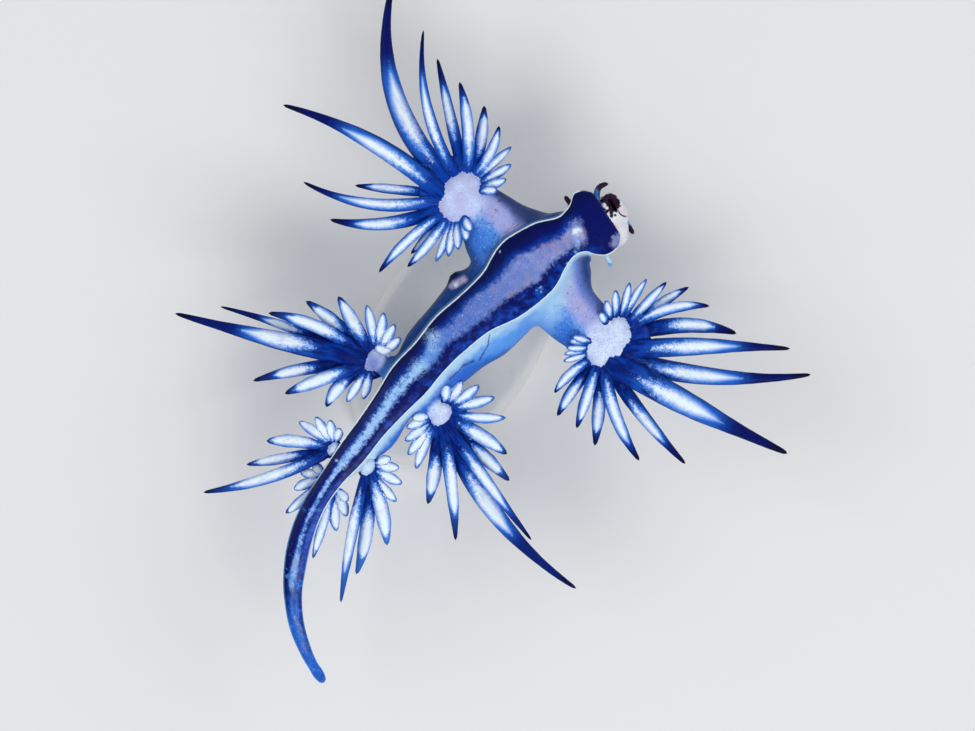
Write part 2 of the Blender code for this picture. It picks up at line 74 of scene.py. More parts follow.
lens_data = bpy.data.cameras.new("camera")
lens_data.lens = LENS
lens_data.sensor_width = SENSOR
camera = bpy.data.objects.new("camera", lens_data)
bpy.context.scene.collection.objects.link(camera)
right_mm = (IMAGE_WIDTH / 2 - ORIGIN_PIXEL[0]) / PIXELS_PER_MM
down_mm = (IMAGE_HEIGHT / 2 - ORIGIN_PIXEL[1]) / PIXELS_PER_MM
cos_turn, sin_turn = math.cos(PICTURE_TURN), math.sin(PICTURE_TURN)
distance = IMAGE_WIDTH / PIXELS_PER_MM * LENS / SENSOR
camera.location = Vector((
    right_mm * cos_turn + down_mm * sin_turn,
    right_mm * sin_turn - down_mm * cos_turn,
    SUBJECT_Z + distance,
)) * MM
camera.rotation_euler = (0, 0, PICTURE_TURN)
bpy.context.scene.camera = camera

# Stand base: a flat oval plate of metal under matt white paint, its edges rounded. It lies
# loose on the floor and carries both rods.
BASE_EDGE = 0.7
BASE_SIDES = 128
BASE_PAINT = (0.72, 0.72, 0.70)


class Wire:
    """One output socket of a node tree. Arithmetic on it adds Math nodes."""

    def __init__(self, tree, socket=None):
        self.tree = tree
        self.socket = socket

    def node(self, kind, settings=(), inputs=(), output=0):
        """Any node: its settings first, then the values or wires of its sockets."""
        node = self.tree.nodes.new(kind)
        for name, value in dict(settings).items():
            if name == "stops":
                points = node.mapping.curves[0].points
                for _ in value[2:]:
                    points.new(0.5, 0.5)
                for point, place in zip(points, value):
                    point.location = place
                node.mapping.update()
            else:
                setattr(node, name, value)
        for name, value in dict(inputs).items():
            if isinstance(value, Wire):
                self.tree.links.new(value.socket, node.inputs[name])
            else:
                node.inputs[name].default_value = value
        return Wire(self.tree, node.outputs[output])

    def math(self, operation, *values):
        return self.node("ShaderNodeMath", {"operation": operation}, enumerate((self, *values)))

    def __add__(self, other):
        return self.math("ADD", other)

    __radd__ = __add__

    def __sub__(self, other):
        return self.math("SUBTRACT", other)

    def __rsub__(self, other):
        return self.math("MULTIPLY", -1.0).math("ADD", other)

    def __mul__(self, other):
        return self.math("MULTIPLY", other)

    __rmul__ = __mul__

    def __truediv__(self, other):
        return self.math("DIVIDE", other)

    def __abs__(self):
        return self.math("ABSOLUTE")

    def least(self, other):
        return self.math("MINIMUM", other)

    def most(self, other):
        return self.math("MAXIMUM", other)

    def step(self, low, high):
        """0 below low and 1 above high, smooth between. With low above high it falls."""
        return self.node("ShaderNodeMapRange", {"interpolation_type": "SMOOTHSTEP"},
                         {"Value": self, "From Min": low, "From Max": high})

    def parts(self):
        """The three numbers of a vector."""
        return [self.node("ShaderNodeSeparateXYZ", inputs={0: self}, output=i) for i in range(3)]

    def noise(self, scale, detail=2.0):
        """Noise about 0, from about -1 to 1, read at this place."""
        grain = self.node("ShaderNodeTexNoise", inputs={
            "Vector": self, "Scale": scale, "Detail": detail})
        return (grain - 0.5) * 3.0

    def attribute(self, name, output="Vector"):
        return self.node("ShaderNodeAttribute", {"attribute_name": name}, output=output)

    def place(self):
        """Where a point of the piece is, in millimetres."""
        metres = self.node("ShaderNodeTexCoord", output="Object")
        return self.node("ShaderNodeVectorMath", {"operation": "SCALE"}, {0: metres, "Scale": 1 / MM})

    def blend(self, other, share):
        """This colour, turned to the other by a share."""
        return self.node("ShaderNodeMix", {"data_type": "RGBA"}, {0: share, 6: self, 7: other}, 2)

    def vector(self, x, y, z):
        """A vector of three numbers or wires."""
        return self.node("ShaderNodeCombineXYZ", inputs={0: x, 1: y, 2: z})

    def colour(self, red, green, blue):
        """A constant colour, to start a blend with."""
        return self.node("ShaderNodeMix", {"data_type": "RGBA"}, {
            0: 0.0, 6: (red, green, blue, 1.0), 7: (red, green, blue, 1.0)}, 2)


def rgb(red, green, blue):
    return (red, green, blue, 1.0)


def new_material(name, roughness, metallic=0.0, coat=0.0, coat_roughness=0.1):
    """Material with the constants of its finish set, its shader, and a wire to start from."""
    material = bpy.data.materials.new(name)
    material.use_nodes = True
    shader = material.node_tree.nodes["Principled BSDF"]
    for socket, value in (("Roughness", roughness), ("Metallic", metallic),
                          ("Coat Weight", coat), ("Coat Roughness", coat_roughness)):
        shader.inputs[socket].default_value = value
    return material, shader, Wire(material.node_tree)


def connect(shader, **wires):
    """Lead wires to sockets of the shader, with _ for each blank in a socket's name."""
    for name, wire in wires.items():
        wire.tree.links.new(wire.socket, shader.inputs[name.replace("_", " ")])


def bump(height, distance):
    """Normal from a height of about -1 to 1, worth that many metres."""
    return height.node("ShaderNodeBump", inputs={"Height": height, "Distance": distance})


def closed_mesh(rings, name):
    """Closed mesh object through rings of like numbers of points, its faces turned out."""
    rings = np.asarray(rings, dtype=float)
    count, sides, _ = rings.shape
    index = np.arange(count * sides).reshape(count, sides)
    here, there = index[:-1], index[1:]
    quads = np.stack((here, np.roll(here, -1, 1), np.roll(there, -1, 1), there), axis=-1)
    faces = quads.reshape(-1, 4).tolist() + [index[0].tolist(), index[-1].tolist()]
    data = bpy.data.meshes.new(name)
    data.from_pydata(rings.reshape(-1, 3), [], faces)
    mesh = bmesh.new()
    mesh.from_mesh(data)
    bmesh.ops.recalc_face_normals(mesh, faces=mesh.faces)
    mesh.to_mesh(data)
    mesh.free()
    thing = bpy.data.objects.new(name, data)
    bpy.context.scene.collection.objects.link(thing)
    return thing


def dress(thing, material, slot, *nodes):
    """Finish a piece: metres, smooth faces, its material, and its place in the frame."""
    thing.data.transform(Matrix.Scale(MM, 4))
    thing.data.materials.clear()
    thing.data.materials.append(material)
    thing.data.shade_smooth()
    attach(thing, "root")
    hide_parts(*nodes)


def oval(half_x, half_y, z, sides):
    turn = np.linspace(0, 2 * math.pi, sides, endpoint=False)
    return np.stack((half_x * np.cos(turn), half_y * np.sin(turn), np.full(sides, z)), axis=1)


def rounded_edge(inset, low, high, steps=7):
    """(inset, z) pairs of a quarter round from the upright side onto the top."""
    turns = np.linspace(0, math.pi / 2, steps)
    return [(inset * (1 - math.cos(a)), low + (high - low) * math.sin(a)) for a in turns]


base_low, base_high = (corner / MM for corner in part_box("stand_base"))
base_half = (base_high - base_low) / 2
base_top = base_high.z
base_profile = [(0.25, 0.0), (0.06, 0.07), (0.0, 0.25)]
base_profile += rounded_edge(BASE_EDGE, base_top - BASE_EDGE, base_top)
base_profile += [(BASE_EDGE + 0.3, base_top), (base_half.x * 0.6, base_top)]
stand_base = closed_mesh(
    [oval(base_half.x - inset, base_half.y - inset, z, BASE_SIDES) for inset, z in base_profile],
    "stand_base_plate")
base_paint, shader, wire = new_material("matt_white_paint", 0.55)
peel = wire.place().noise(2.2, 3.0)
connect(
    shader,
    Base_Color=wire.colour(*BASE_PAINT).blend(rgb(0.66, 0.66, 0.65), peel.step(0.2, 1.0)),
    Roughness=peel * 0.05 + 0.52,
    Normal=bump(peel, 0.00001),
)
dress(stand_base, base_paint, "stand_base", "stand_base")

# Stand rods: two round rods of brushed steel, each in a low collar on the base, up into the
# back of the animal.
COLLAR_REACH, COLLAR_HEIGHT, COLLAR_EDGE = 0.55, 0.5, 0.15
ROD_RISE = 0.8
ROD_SIDES = 48

steel, shader, wire = new_material("brushed_steel", 0.3, metallic=1.0)
across_rod = wire.node("ShaderNodeMapping", inputs={"Vector": wire.place(), "Scale": (1.0, 1.0, 24.0)})
brushing = across_rod.noise(1.5, 4.0)
connect(
    shader,
    Base_Color=wire.colour(0.58, 0.58, 0.6).blend(rgb(0.46, 0.46, 0.48), brushing.step(-0.5, 1.0)),
    Roughness=brushing * 0.06 + 0.3,
    Normal=bump(brushing, 0.000004),
)
for name in ("stand_rod_front", "stand_rod_rear"):
    low, high = (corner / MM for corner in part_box(name))
    centre, radius = (low + high) / 2, (high.x - low.x) / 2
    outer = radius + COLLAR_REACH
    profile = [(outer, base_top - 0.05), (outer, base_top + COLLAR_HEIGHT - COLLAR_EDGE)]
    profile += [(outer - inset, z) for inset, z in rounded_edge(
        COLLAR_EDGE, base_top + COLLAR_HEIGHT - COLLAR_EDGE, base_top + COLLAR_HEIGHT, 5)]
    profile += [(radius + 0.02, base_top + COLLAR_HEIGHT), (radius, base_top + COLLAR_HEIGHT + 0.02)]
    profile += [(radius, z) for z in np.linspace(base_top + COLLAR_HEIGHT + 0.2, high.z + ROD_RISE, 12)]
    rod = closed_mesh([oval(r, r, z, ROD_SIDES) + (centre.x, centre.y, 0) for r, z in profile],
                      name + "_steel")
    dress(rod, steel, "stand_rods", name)

# Foot: the animal's sole, which faces up as it floats. A long plate, widest behind the head
# and drawn out to the tip of the tail, with a crowned middle and a thin raised margin.
# One row for each station: y, x of the foot's middle, sag, half width of the foot, reach of
# the flanks to the animal's right and left, depth down to the back.
SOLE_Z = 11.0
BODY = (
    (11.66, 4.03, 0.12, 1.80, 0.75, 0.75, 1.50),
    (11.42, 3.92, 0.10, 2.12, 0.90, 0.90, 1.60),
    (11.05, 3.75, 0.08, 2.26, 1.10, 1.10, 1.80),
    (10.65, 3.55, 0.07, 2.26, 1.20, 1.30, 2.00),
    (10.30, 3.34, 0.06, 1.98, 1.28, 1.50, 2.20),
    (10.00, 3.14, 0.05, 1.64, 1.45, 2.10, 2.40),
    (9.60, 2.90, 0.04, 1.42, 1.65, 2.25, 2.70),
    (8.00, 2.05, 0.00, 1.82, 2.00, 2.50, 3.40),
    (6.50, 1.65, 0.00, 2.24, 2.40, 2.60, 3.90),
    (4.00, 1.20, 0.00, 1.92, 2.75, 2.95, 4.20),
    (2.00, 0.40, 0.00, 1.54, 2.65, 3.30, 4.20),
    (0.00, -0.25, 0.05, 1.48, 2.20, 3.05, 3.90),
    (-2.00, -0.60, 0.10, 1.34, 2.10, 2.75, 3.40),
    (-4.00, -0.93, 0.15, 1.40, 1.50, 2.00, 3.00),
    (-6.00, -1.16, 0.20, 1.16, 1.20, 1.65, 2.50),
    (-8.00, -1.38, 0.30, 1.00, 1.05, 1.90, 2.20),
    (-10.00, -1.55, 0.40, 0.97, 0.95, 1.35, 1.90),
    (-12.00, -1.77, 0.55, 0.78, 0.70, 0.80, 1.60),
    (-14.00, -1.82, 0.75, 0.74, 0.66, 0.66, 1.45),
    (-16.00, -1.50, 1.05, 0.77, 0.67, 0.67, 1.35),
    (-18.00, -0.82, 1.40, 0.73, 0.62, 0.62, 1.20),
    (-20.00, 0.25, 1.90, 0.58, 0.48, 0.48, 1.00),
    (-22.00, 2.10, 2.50, 0.45, 0.36, 0.36, 0.80),
    (-23.00, 3.60, 2.80, 0.34, 0.26, 0.26, 0.60),
    (-23.48, 4.60, 2.96, 0.28, 0.20, 0.20, 0.44),
    (-23.56, 4.77, 2.99, 0.19, 0.14, 0.14, 0.30),
    (-23.60, 4.85, 3.00, 0.04, 0.03, 0.03, 0.06),
)
FRONT_Y, TAIL_TIP_Y = BODY[0][0], BODY[-1][0]
STATION_PITCH = 0.16
TIP_STATIONS = (0.1, 0.07, 0.045, 0.025, 0.01, 0.002, 0.0)
FOOT_THICK = 0.7
# Section of the foot from its middle to its edge and back below: share of the half width,
# inset, rise, and share of the thickness below.
FOOT_SECTION = (
    (0.0, 0.0, 0.22, 0.0), (0.25, 0.0, 0.205, 0.0), (0.5, 0.0, 0.16, 0.0), (0.7, 0.0, 0.1, 0.0),
    (0.85, 0.0, 0.05, 0.0), (1.0, 0.17, 0.012, 0.0), (1.0, 0.1, 0.025, 0.0), (1.0, 0.065, 0.07, 0.0),
    (1.0, 0.035, 0.08, 0.0), (1.0, 0.01, 0.055, 0.0), (1.0, 0.0, 0.0, 0.0), (1.0, 0.02, -0.06, 0.0),
    (1.0, 0.1, -0.13, 0.0), (1.0, 0.3, -0.2, 0.1), (0.7, 0.0, -0.1, 0.6), (0.5, 0.0, 0.0, 1.0),
    (0.0, 0.0, 0.0, 1.0),
)


def read_rows(rows, at):
    """The columns after the first of a table, from a smooth curve at values of the first."""
    table = np.array(sorted(rows), dtype=float)
    keys, values = table[:, 0], table[:, 1:]
    slopes = np.gradient(values, keys, axis=0)
    at = np.clip(np.atleast_1d(at), keys[0], keys[-1])
    low = np.clip(np.searchsorted(keys, at) - 1, 0, len(keys) - 2)
    span = (keys[low + 1] - keys[low])[:, None]
    t = (at - keys[low])[:, None] / span
    leave, arrive = t * (1 - t) ** 2, t * t * (t - 1)
    curve = span * (slopes[low] * leave + slopes[low + 1] * arrive)
    return values[low] + (values[low + 1] - values[low]) * t * t * (3 - 2 * t) + curve


def unit(vectors):
    return vectors / np.linalg.norm(vectors, axis=-1, keepdims=True)


def body_frames(ys):
    """Middle of the sole, the directions to the animal's left and up, and the sizes there."""
    reach = 0.05
    ahead, behind = np.minimum(ys + reach, FRONT_Y), np.maximum(ys - reach, TAIL_TIP_Y)
    rows, fore, aft = read_rows(BODY, ys), read_rows(BODY, ahead), read_rows(BODY, behind)
    forward = unit(np.stack((fore[:, 0] - aft[:, 0], ahead - behind, aft[:, 1] - fore[:, 1]), axis=1))
    left = unit(np.cross(forward, (0.0, 0.0, 1.0)))
    middle = np.stack((rows[:, 0], ys, SOLE_Z - rows[:, 1]), axis=1)
    return middle, left, np.cross(left, forward), rows[:, 2:]


def even_stations(pitch):
    """Stations from the front to the tip of the tail, evenly spaced along the bent body."""
    ys = np.linspace(FRONT_Y, TAIL_TIP_Y, 2000)
    run = np.concatenate(([0.0], np.cumsum(np.linalg.norm(np.diff(body_frames(ys)[0], axis=0), axis=1))))
    return np.interp(np.linspace(0, run[-1], round(run[-1] / pitch) + 1), run, ys)


def rings_of(middle, left, up, across, above):
    """Rings of points from their places across and above the middle of each station."""
    return middle[:, None] + left[:, None] * across[..., None] + up[:, None] * above[..., None]


stations = np.append(even_stations(STATION_PITCH)[:-2], TAIL_TIP_Y + np.array(TIP_STATIONS))
middle, left, up, sizes = body_frames(stations)
half, right_reach, left_reach, depth = (column[:, None] for column in sizes.T)
section = np.array(FOOT_SECTION)
section = np.concatenate((section, section[-2:0:-1]))
sides = np.repeat((1.0, -1.0), (len(FOOT_SECTION), len(FOOT_SECTION) - 2))
slender = np.minimum(1.0, half / 1.1)
foot_across = sides * (half * section[:, 0] - slender * section[:, 1])
foot_above = slender * section[:, 2] - np.minimum(FOOT_THICK, 0.7 * depth) * section[:, 3]
foot_rings = rings_of(middle, left, up, foot_across, foot_above)
# The front edge bulges a little, with rounded corners and a rounded upper edge.
FRONT_BULGE = 0.24

forward = unit(foot_rings[0] - foot_rings[1]).mean(axis=0)
for turn in np.radians((15, 30, 45, 60, 72, 82, 89)):
    low = 0.35 + 0.65 * math.cos(turn)
    edge = rings_of(middle[:1], left[:1], up[:1], foot_across[:1] * (0.72 + 0.28 * math.cos(turn)),
                    foot_above[:1] * low - 0.06 * (1 - low))[0]
    foot_rings = np.concatenate(((edge + forward * FRONT_BULGE * math.sin(turn))[None], foot_rings))
foot = closed_mesh(foot_rings, "foot")

# Trunk: neck, belly and tail below the foot, broader than it amidships, round on the back.
# In life the flanks and back are one thin smooth skin over the gut.
TRUNK_TOP = 0.5

waist = -0.45 * depth
side_parts = []
for side, reach in ((1.0, left_reach), (-1.0, right_reach)):
    flat = np.minimum(0.85 * half, 0.7 * reach)
    shoulder, belly = np.radians(np.linspace(90, 9, 9)), np.radians(np.linspace(0, 80, 11))
    out = np.concatenate((flat + (reach - flat) * np.cos(shoulder), reach * np.cos(belly)), axis=1)
    rise = np.concatenate((waist + (-TRUNK_TOP * slender - waist) * np.sin(shoulder),
                           waist - (depth + waist) * np.sin(belly)), axis=1)
    side_parts.append((side * out, rise))
(left_out, left_rise), (right_out, right_rise) = side_parts
trunk = closed_mesh(rings_of(
    middle, left, up,
    np.concatenate((left_out, right_out[:, ::-1]), axis=1),
    np.concatenate((left_rise, right_rise[:, ::-1]), axis=1)), "trunk")

# Front arms: flat round limbs that spread from the flanks and end in the wrist of a fan.
# Rows from inside the trunk outwards: x, y, z of the middle line, half width, half thickness.
ARMS = (
    ((1.9, 7.0, 8.95, 3.45, 1.35), (0.6, 7.0, 9.0, 2.8, 1.35), (-0.5, 6.95, 9.15, 2.66, 1.3),
     (-1.3, 7.15, 9.25, 2.5, 1.22), (-2.0, 7.38, 9.35, 2.22, 1.1), (-2.8, 7.58, 9.42, 1.95, 0.9),
     (-3.6, 7.68, 9.42, 1.7, 0.68), (-4.5, 7.75, 9.5, 1.3, 0.45)),
    ((2.6, 6.2, 9.0, 3.3, 1.35), (3.7, 6.0, 9.1, 2.95, 1.33), (4.45, 5.65, 9.2, 2.38, 1.28),
     (5.2, 5.3, 9.3, 2.1, 1.2), (6.2, 5.1, 9.42, 2.0, 1.08), (7.05, 5.0, 9.47, 1.85, 0.9),
     (7.8, 5.0, 9.47, 1.65, 0.65), (8.7, 5.0, 9.55, 1.3, 0.45)),
)
ARM_SIDES = 40


def tube(line, halves, sides, name):
    """Closed tube along a line of points, with the half width and height of each section."""
    line, halves = np.asarray(line), np.asarray(halves)
    along = unit(np.gradient(line, axis=0))
    across = unit(np.cross(along, (0.0, 0.0, 1.0)))
    rise = np.cross(across, along)
    turn = np.linspace(0, 2 * math.pi, sides, endpoint=False)
    return closed_mesh(rings_of(line, across, rise, halves[:, :1] * np.cos(turn),
                                halves[:, 1:] * np.sin(turn)), name)


def row_tube(rows, count, sides, name):
    """Tube through rows of x, y, z, half width and half thickness."""
    keyed = [(i, *row) for i, row in enumerate(rows)]
    read = read_rows(keyed, np.linspace(0, len(rows) - 1, count))
    return tube(read[:, :3], read[:, 3:], sides, name)


arms = [row_tube(rows, 30, ARM_SIDES, "arm") for rows in ARMS]

# Head: a mouth bulb ahead of the foot's front edge, with pale lips round the dark slit of the
# mouth, two mouth feelers beside it and two small scent feelers behind, under the foot.
HEAD_TURN = math.radians(-28)
BULB_CENTRE = (4.34, 11.95, SOLE_Z - 0.97)
BULB_HALF = (1.28, 1.12, 1.0)
CHEEK_CENTRE = (5.26, 11.36, SOLE_Z - 1.05)
CHEEK_HALF = (0.75, 1.1, 0.85)
CHEEK_TURN = math.radians(32)
LIPS_CENTRE = (4.2, 12.45, SOLE_Z - 0.24)
LIPS_HALF = (0.72, 0.42)
LIP_THICK = 0.2
LIPS_TILT = 0.45
MOUTH_HALF = (0.5, 0.13, 0.55)
FEELERS = (
    ((3.5, 11.9, 10.2), (2.25, 12.85, 10.4), (3.15, 13.5, 10.6), 0.44),
    ((4.9, 12.15, 10.1), (5.6, 12.0, 10.15), (6.25, 11.65, 10.2), 0.42),
    ((2.6, 10.95, 9.7), (1.8, 11.1, 9.6), (1.2, 11.38, 9.5), 0.42),
    ((4.2, 10.35, 9.6), (5.3, 9.8, 9.45), (6.25, 9.05, 9.3), 0.36),
)
FEELER_TAPER = ((0.0, 1.2), (0.3, 1.0), (0.7, 0.82), (0.88, 0.72), (0.96, 0.5), (0.99, 0.25), (1.0, 0.05))
PAPILLA_CENTRE = (-1.85, 3.05, SOLE_Z - 1.75)
PAPILLA_HALF = (0.55, 0.72, 0.45)


def ellipsoid(centre, halves, turn=0.0, sides=48, rows=30, name="ellipsoid"):
    place = Matrix.Translation(centre) @ Matrix.Rotation(turn, 4, "Z") @ Matrix.Diagonal((*halves, 1.0))
    latitudes = np.radians(np.linspace(-89, 89, rows))
    unit_rings = [oval(math.cos(a), math.cos(a), math.sin(a), sides) for a in latitudes]
    thing = closed_mesh(unit_rings, name)
    thing.data.transform(place)
    return thing


def bent(root, bend, tip, t):
    """Points at shares t of a line from root to tip that is drawn to a bend."""
    t = np.asarray(t, dtype=float)[:, None]
    root, bend, tip = (np.asarray(point, dtype=float) for point in (root, bend, tip))
    return root * (1 - t) ** 2 + bend * 2 * t * (1 - t) + tip * t ** 2


def lip_ring():
    """Closed ring of lip round the mouth, tilted to lie on the front of the bulb."""
    place = Matrix.Translation(LIPS_CENTRE) @ Matrix.Rotation(HEAD_TURN, 4, "Z")
    mesh = bmesh.new()
    rows = []
    for a in np.linspace(0, 2 * math.pi, 48, endpoint=False):
        out = Vector((math.cos(a), math.sin(a), 0))
        middle_point = Vector((LIPS_HALF[0] * out.x, LIPS_HALF[1] * out.y, -LIPS_TILT * LIPS_HALF[1] * out.y))
        rows.append([mesh.verts.new(place @ (
            middle_point + LIP_THICK * (out * math.cos(b) + Vector((0, 0, math.sin(b))))))
            for b in np.linspace(0, 2 * math.pi, 16, endpoint=False)])
    for i, row in enumerate(rows):
        after = rows[(i + 1) % len(rows)]
        for j in range(len(row)):
            k = (j + 1) % len(row)
            mesh.faces.new((row[j], row[k], after[k], after[j]))
    bmesh.ops.recalc_face_normals(mesh, faces=mesh.faces)
    data = bpy.data.meshes.new("lips")
    mesh.to_mesh(data)
    mesh.free()
    thing = bpy.data.objects.new("lips", data)
    bpy.context.scene.collection.objects.link(thing)
    return thing


bulb = ellipsoid(BULB_CENTRE, BULB_HALF, HEAD_TURN, name="mouth_bulb")
cheek = ellipsoid(CHEEK_CENTRE, CHEEK_HALF, CHEEK_TURN, name="cheek")
lips = lip_ring()
feelers = []
for root, bend, tip, width in FEELERS:
    shares = np.linspace(0, 1, 24) ** 0.7
    size = np.interp(shares, *zip(*FEELER_TAPER)) * width / 2
    feelers.append(tube(bent(root, bend, tip, shares), np.stack((size, size), axis=1), 18, "feeler"))
papilla = ellipsoid(PAPILLA_CENTRE, PAPILLA_HALF, name="papilla")

# Fans: each limb ends in a pale pad with a webbed palm round it, from whose rim the cerata
# stand: pointed fingers of flesh, longest at the far side. They taper to blunt dark tips.
# stalk: x, y and half width of the root. pad: its x and y, half: its half sizes, palm: reach
# of the palm, drop: middle of the fan below the sole there, dome: shift and half sizes of the pad
# that shows, bare: share of a ceras before its white, dark: how dark its tip is. cerata: each
# long one by the angle
# where it leaves the pad, the angle and reach of its tip about the pad, its bow to the left as
# a share of its length, and its width. runs: short ones from (angle, reach, lift of the tip)
# to the same of the last, their number and their width.
FANS = (
    dict(stalk=(-2.4, 7.4, 1.95), bare=0.15, dark=1.0, pad=(-4.45, 7.75), dome=(0.0, 0.0, 1.35, 1.75),
         half=(1.35, 1.8), palm=2.35, drop=1.5, cerata=(
        (98, 94, 5.2, -0.09, 0.6), (95, 108, 6.1, -0.04, 0.72), (110, 123, 7.4, -0.05, 0.75),
        (118, 132, 9.1, 0.0, 0.78), (139, 135, 11.0, 0.09, 0.8), (165, 140, 14.6, 0.14, 1.45),
        (205, 185, 12.9, -0.06, 1.25), (197, 206, 6.9, 0.0, 0.6), (209, 207, 10.2, 0.1, 0.85),
        (235, 222, 8.6, 0.09, 0.88), (255, 255, 7.2, -0.05, 0.65), (262, 261, 4.9, 0.0, 0.5),
        (269, 265, 5.7, 0.03, 0.62)), runs=(
        ((41, 2.4, 1.3), (77, 4.6, 0.3), 4, 0.5), ((281, 4.5, 0.2), (318, 2.4, 1.3), 5, 0.5))),
    dict(stalk=(6.6, 5.0, 1.85), bare=0.19, dark=1.0, pad=(8.7, 5.0), dome=(-0.15, -0.08, 1.38, 1.86),
         half=(1.3, 1.85), palm=2.3, drop=1.45, cerata=(
        (-101, -105, 4.9, -0.08, 0.6), (-91, -93, 5.9, -0.04, 0.68), (-93, -79, 6.0, 0.0, 0.68),
        (-78, -66, 6.8, 0.01, 0.78), (-72, -44, 7.9, -0.07, 0.82), (-68, -26, 9.3, -0.03, 0.92),
        (-58, 0, 13.5, -0.012, 1.7), (-30, 23, 13.2, -0.055, 1.3), (-5, 30, 11.6, 0.02, 1.25),
        (38, 36, 8.2, 0.09, 1.0), (52, 52, 6.8, 0.11, 0.65), (62, 67, 6.2, 0.03, 0.6),
        (75, 79, 5.3, 0.0, 0.55)), runs=(
        ((92, 4.7, 0.2), (141, 2.0, 1.3), 5, 0.46), ((-125, 3.3, 0.4), (-155, 2.5, 1.4), 5, 0.38))),
    dict(stalk=(-1.6, -3.9, 0.75), bare=0.3, dark=0.9, pad=(-3.6, -4.2), dome=(0.0, 0.0, 0.55, 0.75),
         half=(0.55, 0.75), palm=1.4, drop=1.35, cerata=(
        (151, 151, 4.7, 0.0, 0.82), (171, 171, 5.8, -0.03, 0.82), (186, 188, 7.4, -0.07, 0.82),
        (190, 193, 10.5, -0.02, 0.78), (200, 199, 13.1, 0.01, 1.3), (219, 222, 7.9, -0.03, 0.82),
        (233, 233, 6.1, -0.01, 0.8), (255, 257, 4.3, -0.1, 0.75)), runs=(
        ((72, 2.3, 0.5), (129, 3.6, 0.2), 4, 0.55), ((270, 3.2, 0.1), (288, 2.6, 0.4), 2, 0.5))),
    dict(stalk=(0.2, -4.7, 0.85), bare=0.27, dark=0.8, pad=(1.95, -4.8), dome=(0.0, 0.0, 0.65, 0.8),
         half=(0.65, 0.85), palm=1.5, drop=1.35, cerata=(
        (1, 1, 5.0, 0.03, 0.85), (-12, -12, 6.2, 0.0, 0.82), (-22, -22, 10.0, -0.01, 0.82),
        (-16, -20, 14.3, -0.085, 1.3), (-45, -51, 8.2, 0.02, 0.8), (-70, -66, 5.9, 0.03, 0.82)), runs=(
        ((29, 4.2, 0.2), (110, 2.0, 0.6), 5, 0.58), ((-82, 3.9, 0.1), (-140, 1.9, 0.5), 5, 0.55))),
    dict(stalk=(-1.7, -10.2, 0.55), bare=0.22, dark=0.8, pad=(-2.75, -10.4), dome=(0.05, 0.0, 0.32, 0.5),
         half=(0.3, 0.5), palm=0.7, drop=0.75, cerata=(
        (200, 206, 4.3, -0.05, 0.72), (225, 223, 5.7, 0.0, 0.62), (245, 231, 8.8, 0.045, 0.78)), runs=(
        ((105, 1.4, 0.3), (174, 2.8, 0.2), 4, 0.52),)),
    dict(stalk=(-1.2, -10.1, 0.55), bare=0.2, dark=0.25, pad=(-0.2, -10.2), dome=(0.0, 0.0, 0.42, 0.6),
         half=(0.4, 0.65), palm=0.8, drop=0.8, cerata=(
        (-25, -44, 5.2, 0.04, 0.85), (-58, -64, 7.0, 0.055, 0.85), (-68, -69, 8.9, -0.015, 0.72)), runs=(
        ((55, 1.6, 0.3), (-18, 2.9, 0.1), 4, 0.55),)),
    dict(stalk=(-1.8, -12.2, 0.3), bare=0.2, dark=0.8, pad=(-2.2, -12.2),
         half=(0.2, 0.25), palm=0.3, drop=1.0, cerata=(
        (248, 255, 3.5, 0.03, 0.52),), runs=(
        ((169, 1.1, 0.1), (235, 2.2, 0.0), 3, 0.55),)),
    dict(stalk=(-1.7, -12.4, 0.3), bare=0.2, dark=0.5, pad=(-1.4, -12.4),
         half=(0.2, 0.25), palm=0.3, drop=1.0, cerata=(
        (-70, -74, 4.9, 0.0, 0.56),), runs=(
        ((-16, 1.35, 0.1), (-55, 2.95, -0.1), 3, 0.58),)),
)
PALM_THICK = (0.22, 0.06)
PAD_RISE = 0.46
PAD_BLEND = 0.3
PAD_SCALLOP = 0.07
ROOT_SUNK = 0.7
ROOT_SHIFT = 0.12
# Width along a ceras as shares of its own: long ones are fingers, short ones leaves.
FINGER_TAPER = ((0.0, 0.92), (0.22, 1.02), (0.4, 0.96), (0.55, 0.8), (0.68, 0.6), (0.8, 0.42), (0.92, 0.28),
                (0.975, 0.19), (1.0, 0.03))
LEAF_TAPER = ((0.0, 0.66), (0.2, 0.84), (0.42, 1.06), (0.62, 1.04), (0.8, 0.76), (0.92, 0.46),
              (0.98, 0.26), (1.0, 0.03))
LEAF_WIDENING = 1.13
BUD_SHAPE, BUD_REACH = (-0.35, 0.12, 0.32), 4.8
LEAF_REACH, FINGER_REACH = 6.5, 11.0
CERAS_FLATNESS = 0.82
CERAS_SPREAD = 0.1
CERAS_DROOP = 0.03
# How much farther out the white starts on the short cerata of the lower row.
LOW_BARE = 0.16
RING_PITCH, LEAST_RINGS = 0.17, 26
CERAS_SIDES = 14
CERAS_LUMPS = 0.05
LUMPS_PER_MM = 1.1
RUN_TIP = 0.35
SEED = 7


def turn_vector(degrees):
    return Vector((math.cos(math.radians(degrees)), math.sin(math.radians(degrees)), 0))


